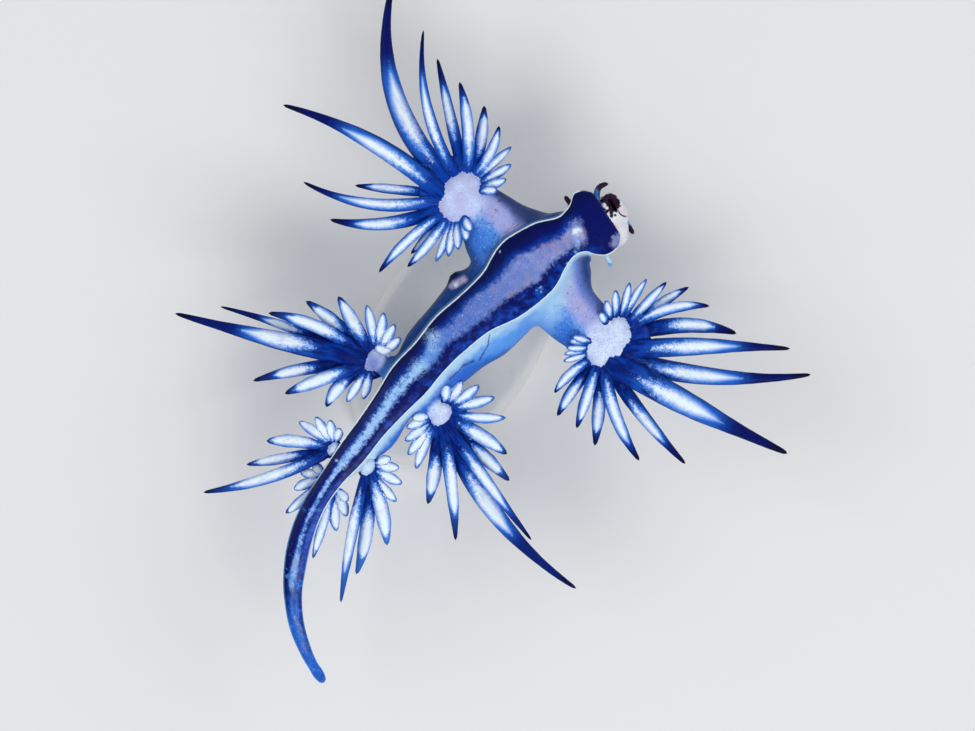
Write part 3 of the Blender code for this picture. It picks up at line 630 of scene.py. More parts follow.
def cerata_tree():
    """Geometry nodes that turn a line with a radius into a closed, lumpy, tapered finger."""
    tree = bpy.data.node_groups.new("cerata", "GeometryNodeTree")
    tree.interface.new_socket("Geometry", in_out="INPUT", socket_type="NodeSocketGeometry")
    for name, kind in (("Ring pitch", "Float"), ("Sides", "Int"), ("Flatness", "Float"), ("Leaf", "Float"),
                       ("Lumps", "Float"), ("Lumps per mm", "Float"), ("Seed", "Float"),
                       ("Material", "Material")):
        tree.interface.new_socket(name, in_out="INPUT", socket_type="NodeSocket" + kind)
    tree.interface.new_socket("Geometry", in_out="OUTPUT", socket_type="NodeSocketGeometry")
    given = {socket.name: Wire(tree, socket) for socket in tree.nodes.new("NodeGroupInput").outputs}
    line = given["Geometry"].node("GeometryNodeResampleCurve", {"mode": "LENGTH"}, {
        "Curve": given["Geometry"], "Length": given["Ring pitch"]})
    line = line.node("GeometryNodeSetCurveNormal", {"mode": "Z_UP"}, {"Curve": line})
    share = line.node("GeometryNodeSplineParameter", output="Factor")
    finger = share.node("ShaderNodeFloatCurve", {"stops": FINGER_TAPER}, {"Value": share})
    leaf = share.node("ShaderNodeFloatCurve", {"stops": LEAF_TAPER}, {"Value": share})
    taper = finger + (leaf - finger) * given["Leaf"]
    lumps = line.node("ShaderNodeTexNoise", {"noise_dimensions": "4D"}, {
        "Vector": line.node("GeometryNodeInputPosition"), "W": given["Seed"],
        "Scale": given["Lumps per mm"], "Detail": 1.0})
    radius = line.node("GeometryNodeInputRadius") * taper * ((lumps - 0.5) * 2.0 * given["Lumps"] + 1.0)
    ring = line.node("GeometryNodeCurvePrimitiveCircle", {"mode": "RADIUS"}, {
        "Resolution": given["Sides"], "Radius": 1.0})
    scale = line.node("ShaderNodeCombineXYZ", inputs={"X": 1.0, "Y": given["Flatness"], "Z": 1.0})
    ring = ring.node("GeometryNodeTransform", inputs={"Geometry": ring, "Scale": scale})
    finger = line.node("GeometryNodeCurveToMesh", inputs={
        "Curve": line, "Profile Curve": ring, "Scale": radius, "Fill Caps": True})
    finger = finger.node("GeometryNodeRealizeInstances", inputs={"Geometry": finger})
    finger = finger.node("GeometryNodeSetMaterial", inputs={
        "Geometry": finger, "Material": given["Material"]})
    out = tree.nodes.new("NodeGroupOutput")
    tree.links.new(finger.socket, out.inputs["Geometry"])
    return tree


def plain(thing):
    """The evaluated mesh of an object in an object of its own, the source removed."""
    graph = bpy.context.evaluated_depsgraph_get()
    result = bpy.data.objects.new(thing.name, bpy.data.meshes.new_from_object(thing.evaluated_get(graph)))
    bpy.context.scene.collection.objects.link(result)
    bpy.data.objects.remove(thing, do_unlink=True)
    return result


def finger_piece(points, sizes, tree, values):
    """One ceras: the tree's modifier on a line through its root, bend and tip."""
    data = bpy.data.curves.new("ceras", "CURVE")
    data.dimensions = "3D"
    spline = data.splines.new("NURBS")
    spline.points.add(2)
    for point, place, size in zip(spline.points, points, sizes):
        point.co = (*place, 1.0)
        point.radius = size
    spline.order_u = 3
    spline.use_endpoint_u = True
    thing = bpy.data.objects.new("ceras", data)
    bpy.context.scene.collection.objects.link(thing)
    modifier = thing.modifiers.new("Ceras", "NODES")
    modifier.node_group = tree
    for item in tree.interface.items_tree:
        if item.name in values:
            modifier[item.identifier] = values[item.name]
    return plain(thing)


class Ceras:
    """Where one ceras runs, and where its white starts and ends as shares of its length."""

    def __init__(self, fan, middle_point, leave, tip_angle, reach, bow, width, lift, shift, dark):
        self.root = middle_point + Vector((*fan["half"], 0)) * turn_vector(leave) * ROOT_SUNK
        self.root.z += shift
        self.tip = middle_point + turn_vector(tip_angle) * reach + Vector((0, 0, lift))
        chord = self.tip - self.root
        self.bend = (self.root + self.tip) / 2 + Vector((0, 0, 1)).cross(chord) * 2 * bow
        self.bend.z += lift * 0.2
        self.leaf = min(max((FINGER_REACH - reach) / (FINGER_REACH - LEAF_REACH), 0.0), 1.0)
        half = width / 2 * (1 + (LEAF_WIDENING - 1) * self.leaf)
        bud = min(max(BUD_REACH - reach, 0.0), 1.0)
        self.sizes = [half * (1 + bud * change) for change in BUD_SHAPE]
        hidden = sum(fan["half"]) / 2 * (1 - ROOT_SUNK) / chord.length
        self.white_from = hidden + (1 - hidden) * fan["bare"] * min(0.5 + 0.08 * reach, 1.0)
        if shift < 0 and reach < FINGER_REACH:
            self.white_from += LOW_BARE
        self.white_to = min(1.02 - 0.029 * reach, 0.92)
        self.dark_tip = dark

    def half_width(self, shares):
        finger, leaf = (np.interp(shares, *zip(*taper)) for taper in (FINGER_TAPER, LEAF_TAPER))
        root, bend, tip = self.sizes
        size = root * (1 - shares) ** 2 + bend * 2 * shares * (1 - shares) + tip * shares ** 2
        return (finger + (leaf - finger) * self.leaf) * size


def cerata_of(fan, middle_point):
    """All cerata of a fan. Tips stand above and below the palm in turn, and droop a little."""
    rng = random.Random(SEED)
    found = []
    for i, (leave, tip_angle, reach, bow, width) in enumerate(fan["cerata"]):
        side = -1 if i % 2 else 1
        lift = side * CERAS_SPREAD * reach * rng.uniform(0.5, 1.0) - CERAS_DROOP * reach
        found.append(Ceras(fan, middle_point, leave, tip_angle, reach, bow, width, lift,
                           side * ROOT_SHIFT, fan["dark"]))
    for first, last, count, width in fan["runs"]:
        for i in range(count):
            angle, reach, lift = (a + (b - a) * i / (count - 1) for a, b in zip(first, last))
            found.append(Ceras(fan, middle_point, angle, angle, reach, rng.uniform(-0.04, 0.04), width,
                               lift, lift * 0.2, fan["dark"] * RUN_TIP))
    return found


def pad_piece(middle_point, half, height, name):
    """Low dome with a scalloped rim."""
    scallops = round(12 * sum(half))
    rings = []
    for latitude in np.radians(np.linspace(-89, 89, 30)):
        turn = np.linspace(0, 2 * math.pi, 160, endpoint=False)
        scallop = (np.abs(np.cos(turn * scallops / 2)) - 0.5) * math.cos(latitude) ** 2
        wave = 1 + PAD_SCALLOP / max(half) * scallop
        rings.append(np.stack((
            middle_point.x + half[0] * wave * math.cos(latitude) ** 0.8 * np.cos(turn),
            middle_point.y + half[1] * wave * math.cos(latitude) ** 0.8 * np.sin(turn),
            np.full(160, middle_point.z + height * math.sin(latitude))), axis=1))
    return closed_mesh(rings, name)


skin_material, skin_shader, wire = new_material("wet_skin", 0.28, coat=0.12, coat_roughness=0.15)
fingers_tree = cerata_tree()
finger_values = {"Ring pitch": RING_PITCH, "Sides": CERAS_SIDES, "Flatness": CERAS_FLATNESS,
                 "Lumps": CERAS_LUMPS, "Lumps per mm": LUMPS_PER_MM, "Seed": float(SEED),
                 "Material": skin_material}
stalks, bases, palms, pads, cerata, finger_pieces = [], [], [], [], [], []
for fan in FANS:
    sole_point = body_frames(np.array([fan["pad"][1]]))[0][0]
    fan_middle = Vector((*fan["pad"], sole_point[2] - fan["drop"]))
    stalk_x, stalk_y, stalk_half = fan["stalk"]
    stalk_root = Vector((stalk_x, stalk_y, fan_middle.z))
    thick = PALM_THICK[0] + PALM_THICK[1] * fan["palm"]
    stalk_rows = [(*stalk_root, stalk_half, thick * 1.9),
                  (*fan_middle.lerp(stalk_root, 0.4), stalk_half, thick * 1.7),
                  (*fan_middle, stalk_half * 0.8, thick)]
    stalks.append(row_tube(stalk_rows, 12, 36, "stalk"))
    outward = (fan_middle - stalk_root).normalized()
    palm_half = (fan["palm"], fan["palm"], thick)
    palms.append(ellipsoid(fan_middle + outward * fan["palm"] * 0.2, palm_half, 0.0, 64, 24))
    if "dome" in fan:
        shift_x, shift_y, *dome_half = fan["dome"]
        dome_middle = fan_middle + Vector((shift_x, shift_y, 0))
        pads.append(pad_piece(dome_middle, dome_half, thick + PAD_RISE, "pad"))
        bases.append(ellipsoid(dome_middle - outward * PAD_BLEND,
                               (*(half * 0.95 for half in dome_half), thick + PAD_RISE + 0.1)))
    fan["middle"] = fan_middle
    fan["found"] = cerata_of(fan, fan_middle)
    cerata += fan["found"]
for ceras in cerata:
    finger_values["Leaf"] = ceras.leaf
    finger_values["Ring pitch"] = min(RING_PITCH, (ceras.tip - ceras.root).length / LEAST_RINGS)
    line = ceras.root, ceras.bend, ceras.tip
    finger_pieces.append(finger_piece(line, ceras.sizes, fingers_tree, finger_values))

# Skin: all the flesh in one closed surface. Trunk, arms and stalks flow into each other, and
# the foot, head, pads and cerata are joined to them, with soft creases where they meet.
BLEND_VOXEL = 0.14
BLEND_PASSES = 34
MERGE_DISTANCE = 0.012
CREASE_PASSES = 10


def combine(thing, others, operation):
    """Join the others to an object, or cut them from it, and remove them."""
    group = bpy.data.collections.new("others")
    bpy.context.scene.collection.children.link(group)
    for other in others:
        bpy.context.scene.collection.objects.unlink(other)
        group.objects.link(other)
    modifier = thing.modifiers.new("Combine", "BOOLEAN")
    modifier.operation = operation
    modifier.solver = "MANIFOLD"
    modifier.operand_type = "COLLECTION"
    modifier.collection = group
    result = plain(thing)
    for other in others:
        bpy.data.objects.remove(other, do_unlink=True)
    bpy.data.collections.remove(group)
    return result


def tidy_surface(thing):
    """Merge slivers, keep the largest surface, and split faces of many corners."""
    mesh = bmesh.new()
    mesh.from_mesh(thing.data)
    bmesh.ops.remove_doubles(mesh, verts=mesh.verts, dist=MERGE_DISTANCE)
    bmesh.ops.dissolve_degenerate(mesh, edges=mesh.edges, dist=MERGE_DISTANCE / 4)
    unseen, surfaces = set(mesh.verts), []
    while unseen:
        surface, waiting = [], [unseen.pop()]
        while waiting:
            vertex = waiting.pop()
            surface.append(vertex)
            for link in vertex.link_edges:
                other = link.other_vert(vertex)
                if other in unseen:
                    unseen.remove(other)
                    waiting.append(other)
        surfaces.append(surface)
    for surface in sorted(surfaces, key=len)[:-1]:
        bmesh.ops.delete(mesh, geom=surface, context="VERTS")
    bmesh.ops.triangulate(mesh, faces=[face for face in mesh.faces if len(face.verts) > 4])
    bmesh.ops.recalc_face_normals(mesh, faces=mesh.faces)
    mesh.to_mesh(thing.data)
    mesh.free()


def numbers_of(items, name, width, kind=float):
    """One property of all points or edges of a mesh as rows of numbers."""
    values = np.empty(len(items) * width, dtype=kind)
    items.foreach_get(name, values)
    return values.reshape(-1, width)


def search_tree(places):
    tree = KDTree(len(places))
    for i, point in enumerate(places):
        tree.insert(point, i)
    tree.balance()
    return tree


skin = combine(trunk, arms + stalks + bases + [papilla], "UNION")
remesh = skin.modifiers.new("Blend", "REMESH")
remesh.mode = "VOXEL"
remesh.voxel_size = BLEND_VOXEL
smooth = skin.modifiers.new("Smooth", "SMOOTH")
smooth.factor = 0.5
smooth.iterations = BLEND_PASSES
skin = plain(skin)

PARTS = {"trunk": [skin], "foot": [foot], "head": [bulb, cheek, lips], "feeler": feelers,
         "palm": palms, "pad": pads, "ceras": finger_pieces}
places = [numbers_of(thing.data.vertices, "co", 3) for things in PARTS.values() for thing in things]
part_of = np.repeat([i for i, things in enumerate(PARTS.values()) for _ in things], [len(p) for p in places])
piece_of = np.repeat([i for things in PARTS.values() for i in range(len(things))], [len(p) for p in places])
parts_tree = search_tree(np.concatenate(places))

rest = [thing for name, things in PARTS.items() if name != "trunk" for thing in things]
skin = combine(skin, rest, "UNION")
skin = combine(skin, [ellipsoid(LIPS_CENTRE, MOUTH_HALF, HEAD_TURN, 24, 16)], "DIFFERENCE")
skin.name = "skin"
tidy_surface(skin)

edges = numbers_of(skin.data.edges, "vertices", 2, int)
points = numbers_of(skin.data.vertices, "co", 3)
normals = numbers_of(skin.data.vertices, "normal", 3)
count = len(points)
neighbours = np.bincount(edges.ravel(), minlength=count)


def around(values):
    """Mean of each column over the neighbours of each point."""
    ends = ((edges[:, 0], edges[:, 1]), (edges[:, 1], edges[:, 0]))
    return np.stack([sum(np.bincount(here, column[there], count) for here, there in ends) / neighbours
                     for column in values.T], axis=1)


hollow = ((around(points) - points) * normals).sum(axis=1, keepdims=True)
crease = np.clip(around(np.clip(hollow / 0.03, 0, 1)) * 1.6, 0, 1)
found = np.array([parts_tree.find(point)[1] for point in points])
part_of, piece_of = part_of[found], piece_of[found]
for _ in range(CREASE_PASSES):
    points = points + 0.5 * crease * (around(points) - points)
skin.data.vertices.foreach_set("co", points.ravel())
skin.data.update()


def keep(name, *columns):
    """Store three numbers for each point, for the colours to go by."""
    values = np.stack([np.broadcast_to(column, count) for column in columns], axis=1)
    skin.data.attributes.new(name, "FLOAT_VECTOR", "POINT").data.foreach_set("vector", values.ravel())


parts = np.stack([part_of == i for i in range(len(PARTS))], axis=1).astype(float)
parts = (parts + around(parts)) / 2
keep("parts_front", *(parts[:, list(PARTS).index(name)] for name in ("foot", "head", "feeler")))
keep("parts_fan", *(parts[:, list(PARTS).index(name)] for name in ("palm", "pad", "ceras")))

# Where each point is on the foot: share of the half width to the animal's left, station along
# the body, height over the sole, and millimetres in from the rim and into the pale stripe.
# STRIPE rows: y, and the x of both edges of the stripe.
STRIPE = (
    (11.5, 3.55, 3.55), (10.7, 3.15, 3.75), (10.0, 2.6, 3.9), (9.0, 2.4, 3.3), (8.0, 1.8, 3.0),
    (7.0, 1.2, 2.8),
    (6.0, 0.6, 2.7), (5.0, 0.5, 2.2), (4.0, 0.3, 1.7), (3.0, 0.0, 1.3), (2.0, -0.4, 1.0), (1.0, -0.5, 0.6),
    (0.0, -0.8, 0.2), (-1.0, -1.3, -0.1), (-2.0, -1.1, -0.1), (-3.0, -1.15, -0.4), (-4.0, -1.4, -0.7),
    (-5.0, -1.6, -0.8), (-7.0, -1.65, -1.0), (-9.0, -1.75, -1.15), (-10.0, -1.9, -1.3), (-12.0, -1.95, -1.65),
    (-14.0, -1.9, -1.6), (-16.0, -1.6, -1.35), (-17.0, -1.3, -1.0), (-18.0, -1.0, -0.6), (-19.0, -0.6, -0.2),
    (-19.9, 0.1, 0.2), (-20.5, 0.5, 0.6), (-21.5, 1.5, 1.7), (-22.4, 2.6, 2.75), (-23.0, 3.5, 3.5))
line_ys = even_stations(0.1)
line = body_frames(line_ys)[0]
line_tree = search_tree(line)
nearest = np.array([line_tree.find(point)[1] for point in points])
ahead = unit(np.gradient(line, axis=0))[nearest]
slide = ((points - line[nearest]) * ahead).sum(axis=1)
station = np.clip(line_ys[nearest] + slide * ahead[:, 1], TAIL_TIP_Y, FRONT_Y)
middle, left, up, sizes = body_frames(station)
across = ((points - middle) * left).sum(axis=1)
above = ((points - middle) * up).sum(axis=1)
stripe_right, stripe_left = read_rows(STRIPE, station).T
lean = np.abs(left[:, 0])
stripe = np.minimum(points[:, 0] - stripe_right, stripe_left - points[:, 0]) * lean
keep("foot", across / sizes[:, 0], station, above)
# The third number of foot_edge is how hollow the skin is at each point, which sets painted shade in creases.
keep("foot_edge", sizes[:, 0] - np.abs(across), stripe, hollow[:, 0])

# Where each point is on its ceras: share of its length, side and upper side from -1 to 1, and
# the shares where its white band starts and ends, with a number of its own.
rng = np.random.default_rng(SEED)
on_ceras = np.zeros((count, 3))
band = np.zeros((count, 3))
for i, ceras in enumerate(cerata):
    mine = np.flatnonzero((part_of == list(PARTS).index("ceras")) & (piece_of == i))
    shares = np.linspace(0, 1, 120)
    centre_line = bent(ceras.root, ceras.bend, ceras.tip, shares)
    along = unit(np.gradient(centre_line, axis=0))
    side = unit(np.cross((0.0, 0.0, 1.0), along))
    offsets = points[mine][:, None] - centre_line
    closest = (offsets ** 2).sum(axis=2).argmin(axis=1)
    offset = offsets[np.arange(len(mine)), closest]
    size = ceras.half_width(shares[closest]) + 0.02
    rise = np.cross(along, side)
    on_ceras[mine] = np.stack((shares[closest], (offset * side[closest]).sum(axis=1) / size,
                               (offset * rise[closest]).sum(axis=1) / size / CERAS_FLATNESS), axis=1)
    band[mine] = ceras.white_from, ceras.white_to, rng.uniform()
keep("ceras", *on_ceras.T)
keep("ceras_band", *band.T)

# On the palms, how near a point is to the groove between two cerata, in millimetres, and how
# much a ceras is of the short broad kind and how dark its tip is.
web = np.zeros((count, 3))
for i, fan in enumerate(FANS):
    mine = np.flatnonzero((part_of == list(PARTS).index("palm")) & (piece_of == i))
    gaps = []
    for ceras in fan["found"]:
        centre_line = bent(ceras.root, ceras.bend, ceras.tip, np.linspace(0, 0.6, 40))[:, :2]
        gaps.append(np.linalg.norm(points[mine][:, None, :2] - centre_line, axis=2).min(axis=1))
    if len(mine):
        nearest_two = np.sort(np.array(gaps) / [[ceras.sizes[0]] for ceras in fan["found"]], axis=0)[:2]
        web[mine, 0] = (nearest_two[1] - nearest_two[0]) * 0.4
for i, ceras in enumerate(cerata):
    web[(part_of == list(PARTS).index("ceras")) & (piece_of == i)] = 1.0, ceras.leaf, ceras.dark_tip
keep("web", *web.T)

# Where each point is by its nearest fan: the direction from the pad, and the share of the
# pad's reach. And on the front arms: share to the front edge, share of the way to the pad.
middles = np.array([fan["middle"] for fan in FANS])
halves = np.array([fan["half"] for fan in FANS])
palms_reach = np.array([fan["palm"] for fan in FANS])
gaps = np.linalg.norm(points[:, None, :2] - middles[:, :2], axis=2)
near = (gaps / palms_reach).argmin(axis=1)
toward = (points[:, :2] - middles[near][:, :2]) / halves[near]
share = np.linalg.norm(toward, axis=1)
keep("fan", *(toward / np.maximum(share, 0.05)[:, None]).T, share)
limb = np.full((count, 3), 0.0)
for rows, fan, sign in zip(ARMS, FANS, (-1.0, 1.0)):
    keyed = [(sign * row[0], *row[1:]) for row in rows]
    mine = np.flatnonzero(sign * (points[:, 0] - middle[:, 0]) > 0)
    read = read_rows(keyed, sign * points[mine, 0])
    limb[mine] = np.stack(((points[mine, 1] - read[:, 0]) / read[:, 2],
                           (points[mine, 0] - rows[1][0]) / (fan["pad"][0] - rows[1][0]),
                           np.full(len(mine), sign)), axis=1)
keep("limb", *limb.T)

# Colours of the wet skin: thin and smooth, dark blue with a pale stripe on the sole, silvery on
# the back, which is the shaded side in life. Tones are in linear light, and each part's colour
# goes by noises of the place and by the numbers stored above.
INK = rgb(0.001, 0.003, 0.03)
NAVY = rgb(0.001, 0.005, 0.11)
ROYAL = rgb(0.001, 0.045, 0.37)
COBALT = rgb(0.02, 0.13, 0.60)
SKY = rgb(0.10, 0.32, 0.82)
ICE = rgb(0.32, 0.62, 0.95)
MINT = rgb(0.46, 0.72, 0.92)
STEEL = rgb(0.12, 0.20, 0.56)
LILAC = rgb(0.36, 0.40, 0.76)
ROSE = rgb(0.30, 0.24, 0.36)
BLUSH = rgb(0.55, 0.49, 0.70)
PEARL = rgb(0.50, 0.60, 0.94)
WHITE = rgb(0.82, 0.95, 1.0)
CREAM = rgb(0.72, 0.66, 0.70)
PLUM = rgb(0.018, 0.005, 0.022)
SLATE = rgb(0.006, 0.022, 0.10)
TEAL = rgb(0.008, 0.045, 0.20)
SILVER = rgb(0.42, 0.48, 0.60)

skin_shader.inputs["Specular IOR Level"].default_value = 0.06
place = wire.place()
plan_x, plan_y, height = place.parts()
fine = place.noise(14.0, 2.0) * 1.6
grain = place.noise(8.0, 2.0)
fleck = place.noise(3.6, 3.0)
mottle = place.noise(1.5, 3.0)
cloud = place.noise(0.55, 2.0)
on_foot, on_head, on_feeler = wire.attribute("parts_front").parts()
on_palm, on_pad, on_ceras_part = wire.attribute("parts_fan").parts()
across, station, above = wire.attribute("foot").parts()
rim, stripe, hollow = wire.attribute("foot_edge").parts()
to_front, to_pad, arm_side = wire.attribute("limb").parts()
run, side, upper = wire.attribute("ceras").parts()
white_from, white_to, own = wire.attribute("ceras_band").parts()
fan_x, fan_y, pad_share = wire.attribute("fan").parts()
web_gap, leaf, dark_tip = wire.attribute("web").parts()
outside = rim * -1.0
light_speck = grain.step(0.5, 1.2)
stretched = wire.node("ShaderNodeMapping", inputs={"Vector": place, "Scale": (1.0, 0.35, 1.0)})
dashes = stretched.noise(8.0, 2.0) * 1.5
# Only the front fan of the animal's right has a plain bright palm.
deep = 1.0 - arm_side.step(0.0, -0.8) * station.step(0.0, 2.0)


def colour_of(tone):
    return wire.colour(*tone[:3])


def spot(x, y, radius, soft, ragged=0.3):
    """1 within a round spot of the plan with a ragged edge, 0 outside."""
    gap_x, gap_y = plan_x - x, plan_y - y
    gap = (gap_x * gap_x + gap_y * gap_y).math("SQRT")
    return (gap + (fleck + grain * 0.5) * (radius * ragged)).step(radius + soft, radius - soft)


def spots(rows):
    """1 within any of several spots."""
    share = spot(*rows[0])
    for row in rows[1:]:
        share = share + spot(*row)
    return share.least(1.0)


def back_colour():
    """The silvery back, bluer up the flanks."""
    silver = colour_of(SILVER).blend(ICE, (mottle + grain * 0.4).step(0.0, 1.2))
    return silver.blend(COBALT, (above + mottle * 0.4).step(-2.8, -1.4) * 0.8)


def fold(x, y, end_x, end_y, half_width):
    """1 on a straight run of a fold of the plan, a little wavering, and 0 beside it."""
    run_x, run_y = end_x - x, end_y - y
    gap_x, gap_y = plan_x + mottle * 0.06 - x, plan_y + fleck * 0.04 - y
    along = ((gap_x * run_x + gap_y * run_y) / (run_x ** 2 + run_y ** 2)).most(0.0).least(1.0)
    gap_x, gap_y = gap_x - along * run_x, gap_y - along * run_y
    gap = (gap_x * gap_x + gap_y * gap_y).math("SQRT") + fleck * 0.02
    return gap.step(half_width * 1.8, half_width * 0.3)


def flank_colour():
    """Pale beside the foot on the animal's left, dark on its right, partly as painted shade, sky blue
    outwards.
    """
    light = colour_of(MINT).blend(SKY, (outside + mottle * 0.12 + fleck * 0.12).step(0.2, 0.75))
    outer = (outside + station.most(-2.0) * -0.3 + mottle * 0.2 + fine * 0.05).step(0.65, 1.3)
    light = light.blend(COBALT, outer * 0.9)
    light = light.blend(TEAL, (above * -1.0 + fleck * 0.1 + station.most(-2.0) * -0.06).step(0.95, 1.7) * 0.6)
    light = light.blend(COBALT, (dashes + fine * 0.5).step(0.4, 1.3) * outside.step(0.1, 0.6) * 0.5)
    light = light.blend(WHITE, (light_speck + fine.step(0.3, 1.2)) * 0.3 * outside.step(0.9, 0.2))
    light = light.blend(WHITE, outside.step(0.45, 0.0) * (mottle + fine * 0.5).step(-1.0, 0.5) * 0.4)
    light = light.blend(NAVY, folds * 0.75)
    # The animal's right flank: its own dark blue, deepened by painted shade of the side turned from the
    # light, darker lower down.
    dark = colour_of(TEAL).blend(COBALT, (fleck + mottle).step(0.0, 1.8) * 0.5)
    dark = dark.blend(SLATE, (above * -1.0 + mottle * 0.1).step(0.8, 1.5) * 0.8)
    dark = dark.blend(ICE, outside.step(0.2, 0.05) * 0.3)
    dark = dark.blend(SKY, station.step(-3.0, -5.5) * 0.7)
    both = dark.blend(light, across.step(-0.3, 0.3))
    back = (above + station.step(-3.0, -13.0) * -1.7 + mottle * 0.3).step(-2.2, -3.2)
    return both.blend(back_colour(), back)


def arm_colour():
    """Lilac over the middle, blue behind, and painted shade along the front edge."""
    base = colour_of(LILAC).blend(BLUSH, (mottle + fleck * 0.6 + grain * 0.4).step(-0.5, 1.0) * 0.8)
    stipple = mottle * 0.22 + fleck * 0.18 + grain * 0.12 + fine * 0.1
    base = base.blend(SKY, (to_front * -1.0 + stipple).step(-0.25, 0.3))
    base = base.blend(STEEL, (fine * 0.7 + grain * 0.7).step(0.0, 1.0) * to_front.step(0.9, 0.4) * 0.45)
    outer = 1.0 - arm_side.step(0.0, 0.5) * to_pad.step(0.5, 0.15) * 0.95
    base = base.blend(COBALT, (to_front * -1.0 + stipple).step(0.0, 0.6) * outer * (arm_side * 0.1 + 0.8))
    base = base.blend(TEAL, (to_front * -1.0 + mottle * 0.05).step(0.75, 1.05) * outer * 0.6)
    pale = (to_pad + mottle * 0.1 + to_front * 0.1).step(0.35, 0.05) * arm_side.step(0.0, 0.5)
    base = base.blend(MINT, pale * (to_front + mottle * 0.1).step(-1.1, -0.2) * 0.85)
    # Painted shade towards the front edge, the side turned from the light: cobalt, then slate on the right
    # arm and teal on the left.
    shade = to_front + arm_side * (to_pad * 0.35 - 0.2) + arm_side.most(0.0) * 0.1 + mottle * 0.06
    base = base.blend(COBALT, shade.step(0.45, 0.8) * 0.6)
    dark = colour_of(SLATE).blend(TEAL, arm_side.step(0.0, 0.5))
    front_shade_share = (shade - arm_side.most(0.0) * 0.1).step(0.52, arm_side * 0.13 + 0.97)
    base = base.blend(dark, front_shade_share * (arm_side * 0.03 + 0.87))
    base = base.blend(NAVY, (dashes + fine * 0.3 + mottle * 0.4).step(0.45, 1.1) * (1.0 - pale) * 0.6)
    return base.blend(WHITE, (fine * -0.7 + dashes * -0.6).step(0.5, 1.3) * to_front.step(0.6, 0.2) * 0.45)


def sole_colour():
    """Dark bands each side of a pale granular stripe."""
    slim = station.step(-7.0, -12.0) * -0.65 + 1.0
    near_stripe = (stripe + (mottle * 0.2 + fleck * 0.1) * slim).step(slim * -0.6, slim * -0.05)
    band = colour_of(NAVY).blend(ROYAL, near_stripe * across.step(0.1, -0.1) * fringe)
    # Darker toward the animal's right edge: partly the band's own tone, partly painted shade of the side
    # turned from the light.
    band = band.blend(INK, (across * -1.0 + mottle * 0.1).step(0.45, 0.85) * 0.6)
    patches = (mottle * 0.7 + fleck * 0.3 + across * 0.7).step(0.2, 1.0) * across.step(0.15, 0.45) * neck
    band = band.blend(ROYAL, patches)
    band = band.blend(COBALT, patches * (fleck + grain * 0.4 + cloud * 0.5).step(0.0, 1.1) * 0.55)
    band = band.blend(SKY, (fine + fleck).step(1.3, 1.9) * patches * 0.5)
    band = band.blend(COBALT, (fine + grain * 0.5).step(0.9, 1.6) * 0.25)
    tail = station.step(-11.0, -14.0) * across.step(0.1, 0.45)
    band = band.blend(ROYAL, tail * 0.7)
    band = band.blend(COBALT, tail * (mottle + fleck * 0.6).step(-0.1, 0.8) * 0.8)
    band = band.blend(COBALT, (station + across * -1.2 + mottle * 0.8).step(-18.2, -20.8) * 0.85)
    tail_edge = station.step(-17.5, -19.0) * station.step(-22.8, -21.8)
    band = band.blend(NAVY, tail_edge * (across + mottle * 0.5).step(0.35, 0.75) * 0.7)
    granules = mottle * 0.5 + grain * 0.6 + fleck * 0.5 + fine * 0.4
    body = colour_of(STEEL).blend(LILAC, granules.step(-0.7, 0.8) * (station.step(3.0, 8.5) * 0.75 + 0.15))
    rosy = (cloud + mottle * 0.6 + grain * 0.5).step(-0.1, 0.8) * station.step(0.5, 3.5)
    body = body.blend(ROSE, rosy * 0.75)
    body = body.blend(COBALT, granules.step(0.5, -0.5) * station.step(5.0, 1.0) * 0.55)
    body = body.blend(SKY, station.step(0.0, -2.5) * granules.step(-0.8, 0.2) * 0.8)
    body = body.blend(ICE, station.step(-1.5, -4.0) * (stripe + granules * 0.2).step(0.0, 0.25) * 0.8)
    body = body.blend(PEARL, station.step(-2.0, -4.5) * granules.step(-0.3, 0.7) * 0.75)
    body = body.blend(NAVY, (fine + grain + fleck * 0.5).step(0.5, 1.4) * station.step(-8.0, 0.0) * 0.6)
    body = body.blend(WHITE, (fine * -1.0 + grain * -0.8 + fleck * 0.3).step(0.5, 1.5) * 0.55)
    inside = (stripe + (fleck * 0.16 + grain * 0.1 + mottle * 0.06) * slim).step(slim * -0.18, slim * 0.24)
    fade = 1.0 - (station + mottle).step(-18.6, -19.8) * 0.4 - station.step(-21.2, -22.2) * 0.4
    fade = (station + mottle * 0.4).step(10.5, 9.9) * fade
    sole = band.blend(body, inside * fade)
    sole = sole.blend(BLUSH, spot(*NECK_GLOW) * (fleck + grain).step(-0.9, 0.2) * 0.6)
    sole = sole.blend(WHITE, spots(NECK_WHITES) * 0.9)
    for x, y, size in MARKS:
        sole = sole.blend(ICE, spot(x, y, size, 0.07, 1.6) * (grain + fine).step(-0.9, 0.2) * 0.75)
    for x, y, size in PALE_PATCHES:
        sole = sole.blend(MINT, spot(x, y, size, size, 0.8) * (fleck + fine).step(-0.8, 0.6) * 0.8)
    sole = sole.blend(LILAC, spot(*CORNER_PATCH) * (fleck + mottle * 0.5).step(1.0, -0.2) * 0.65)
    sole = sole.blend(SKY, fold(*TAIL_CROSS) * (fleck + fine).step(-0.2, 0.6) * 0.6)
    sole = sole.blend(SLATE, spot(*WAIST_SHADE) * (fleck + grain).step(-0.4, -0.9) * 0.8)
    return sole.blend(LILAC, spot(*TAIL_PATCH) * (fleck + fine).step(-0.5, 0.6) * 0.6)


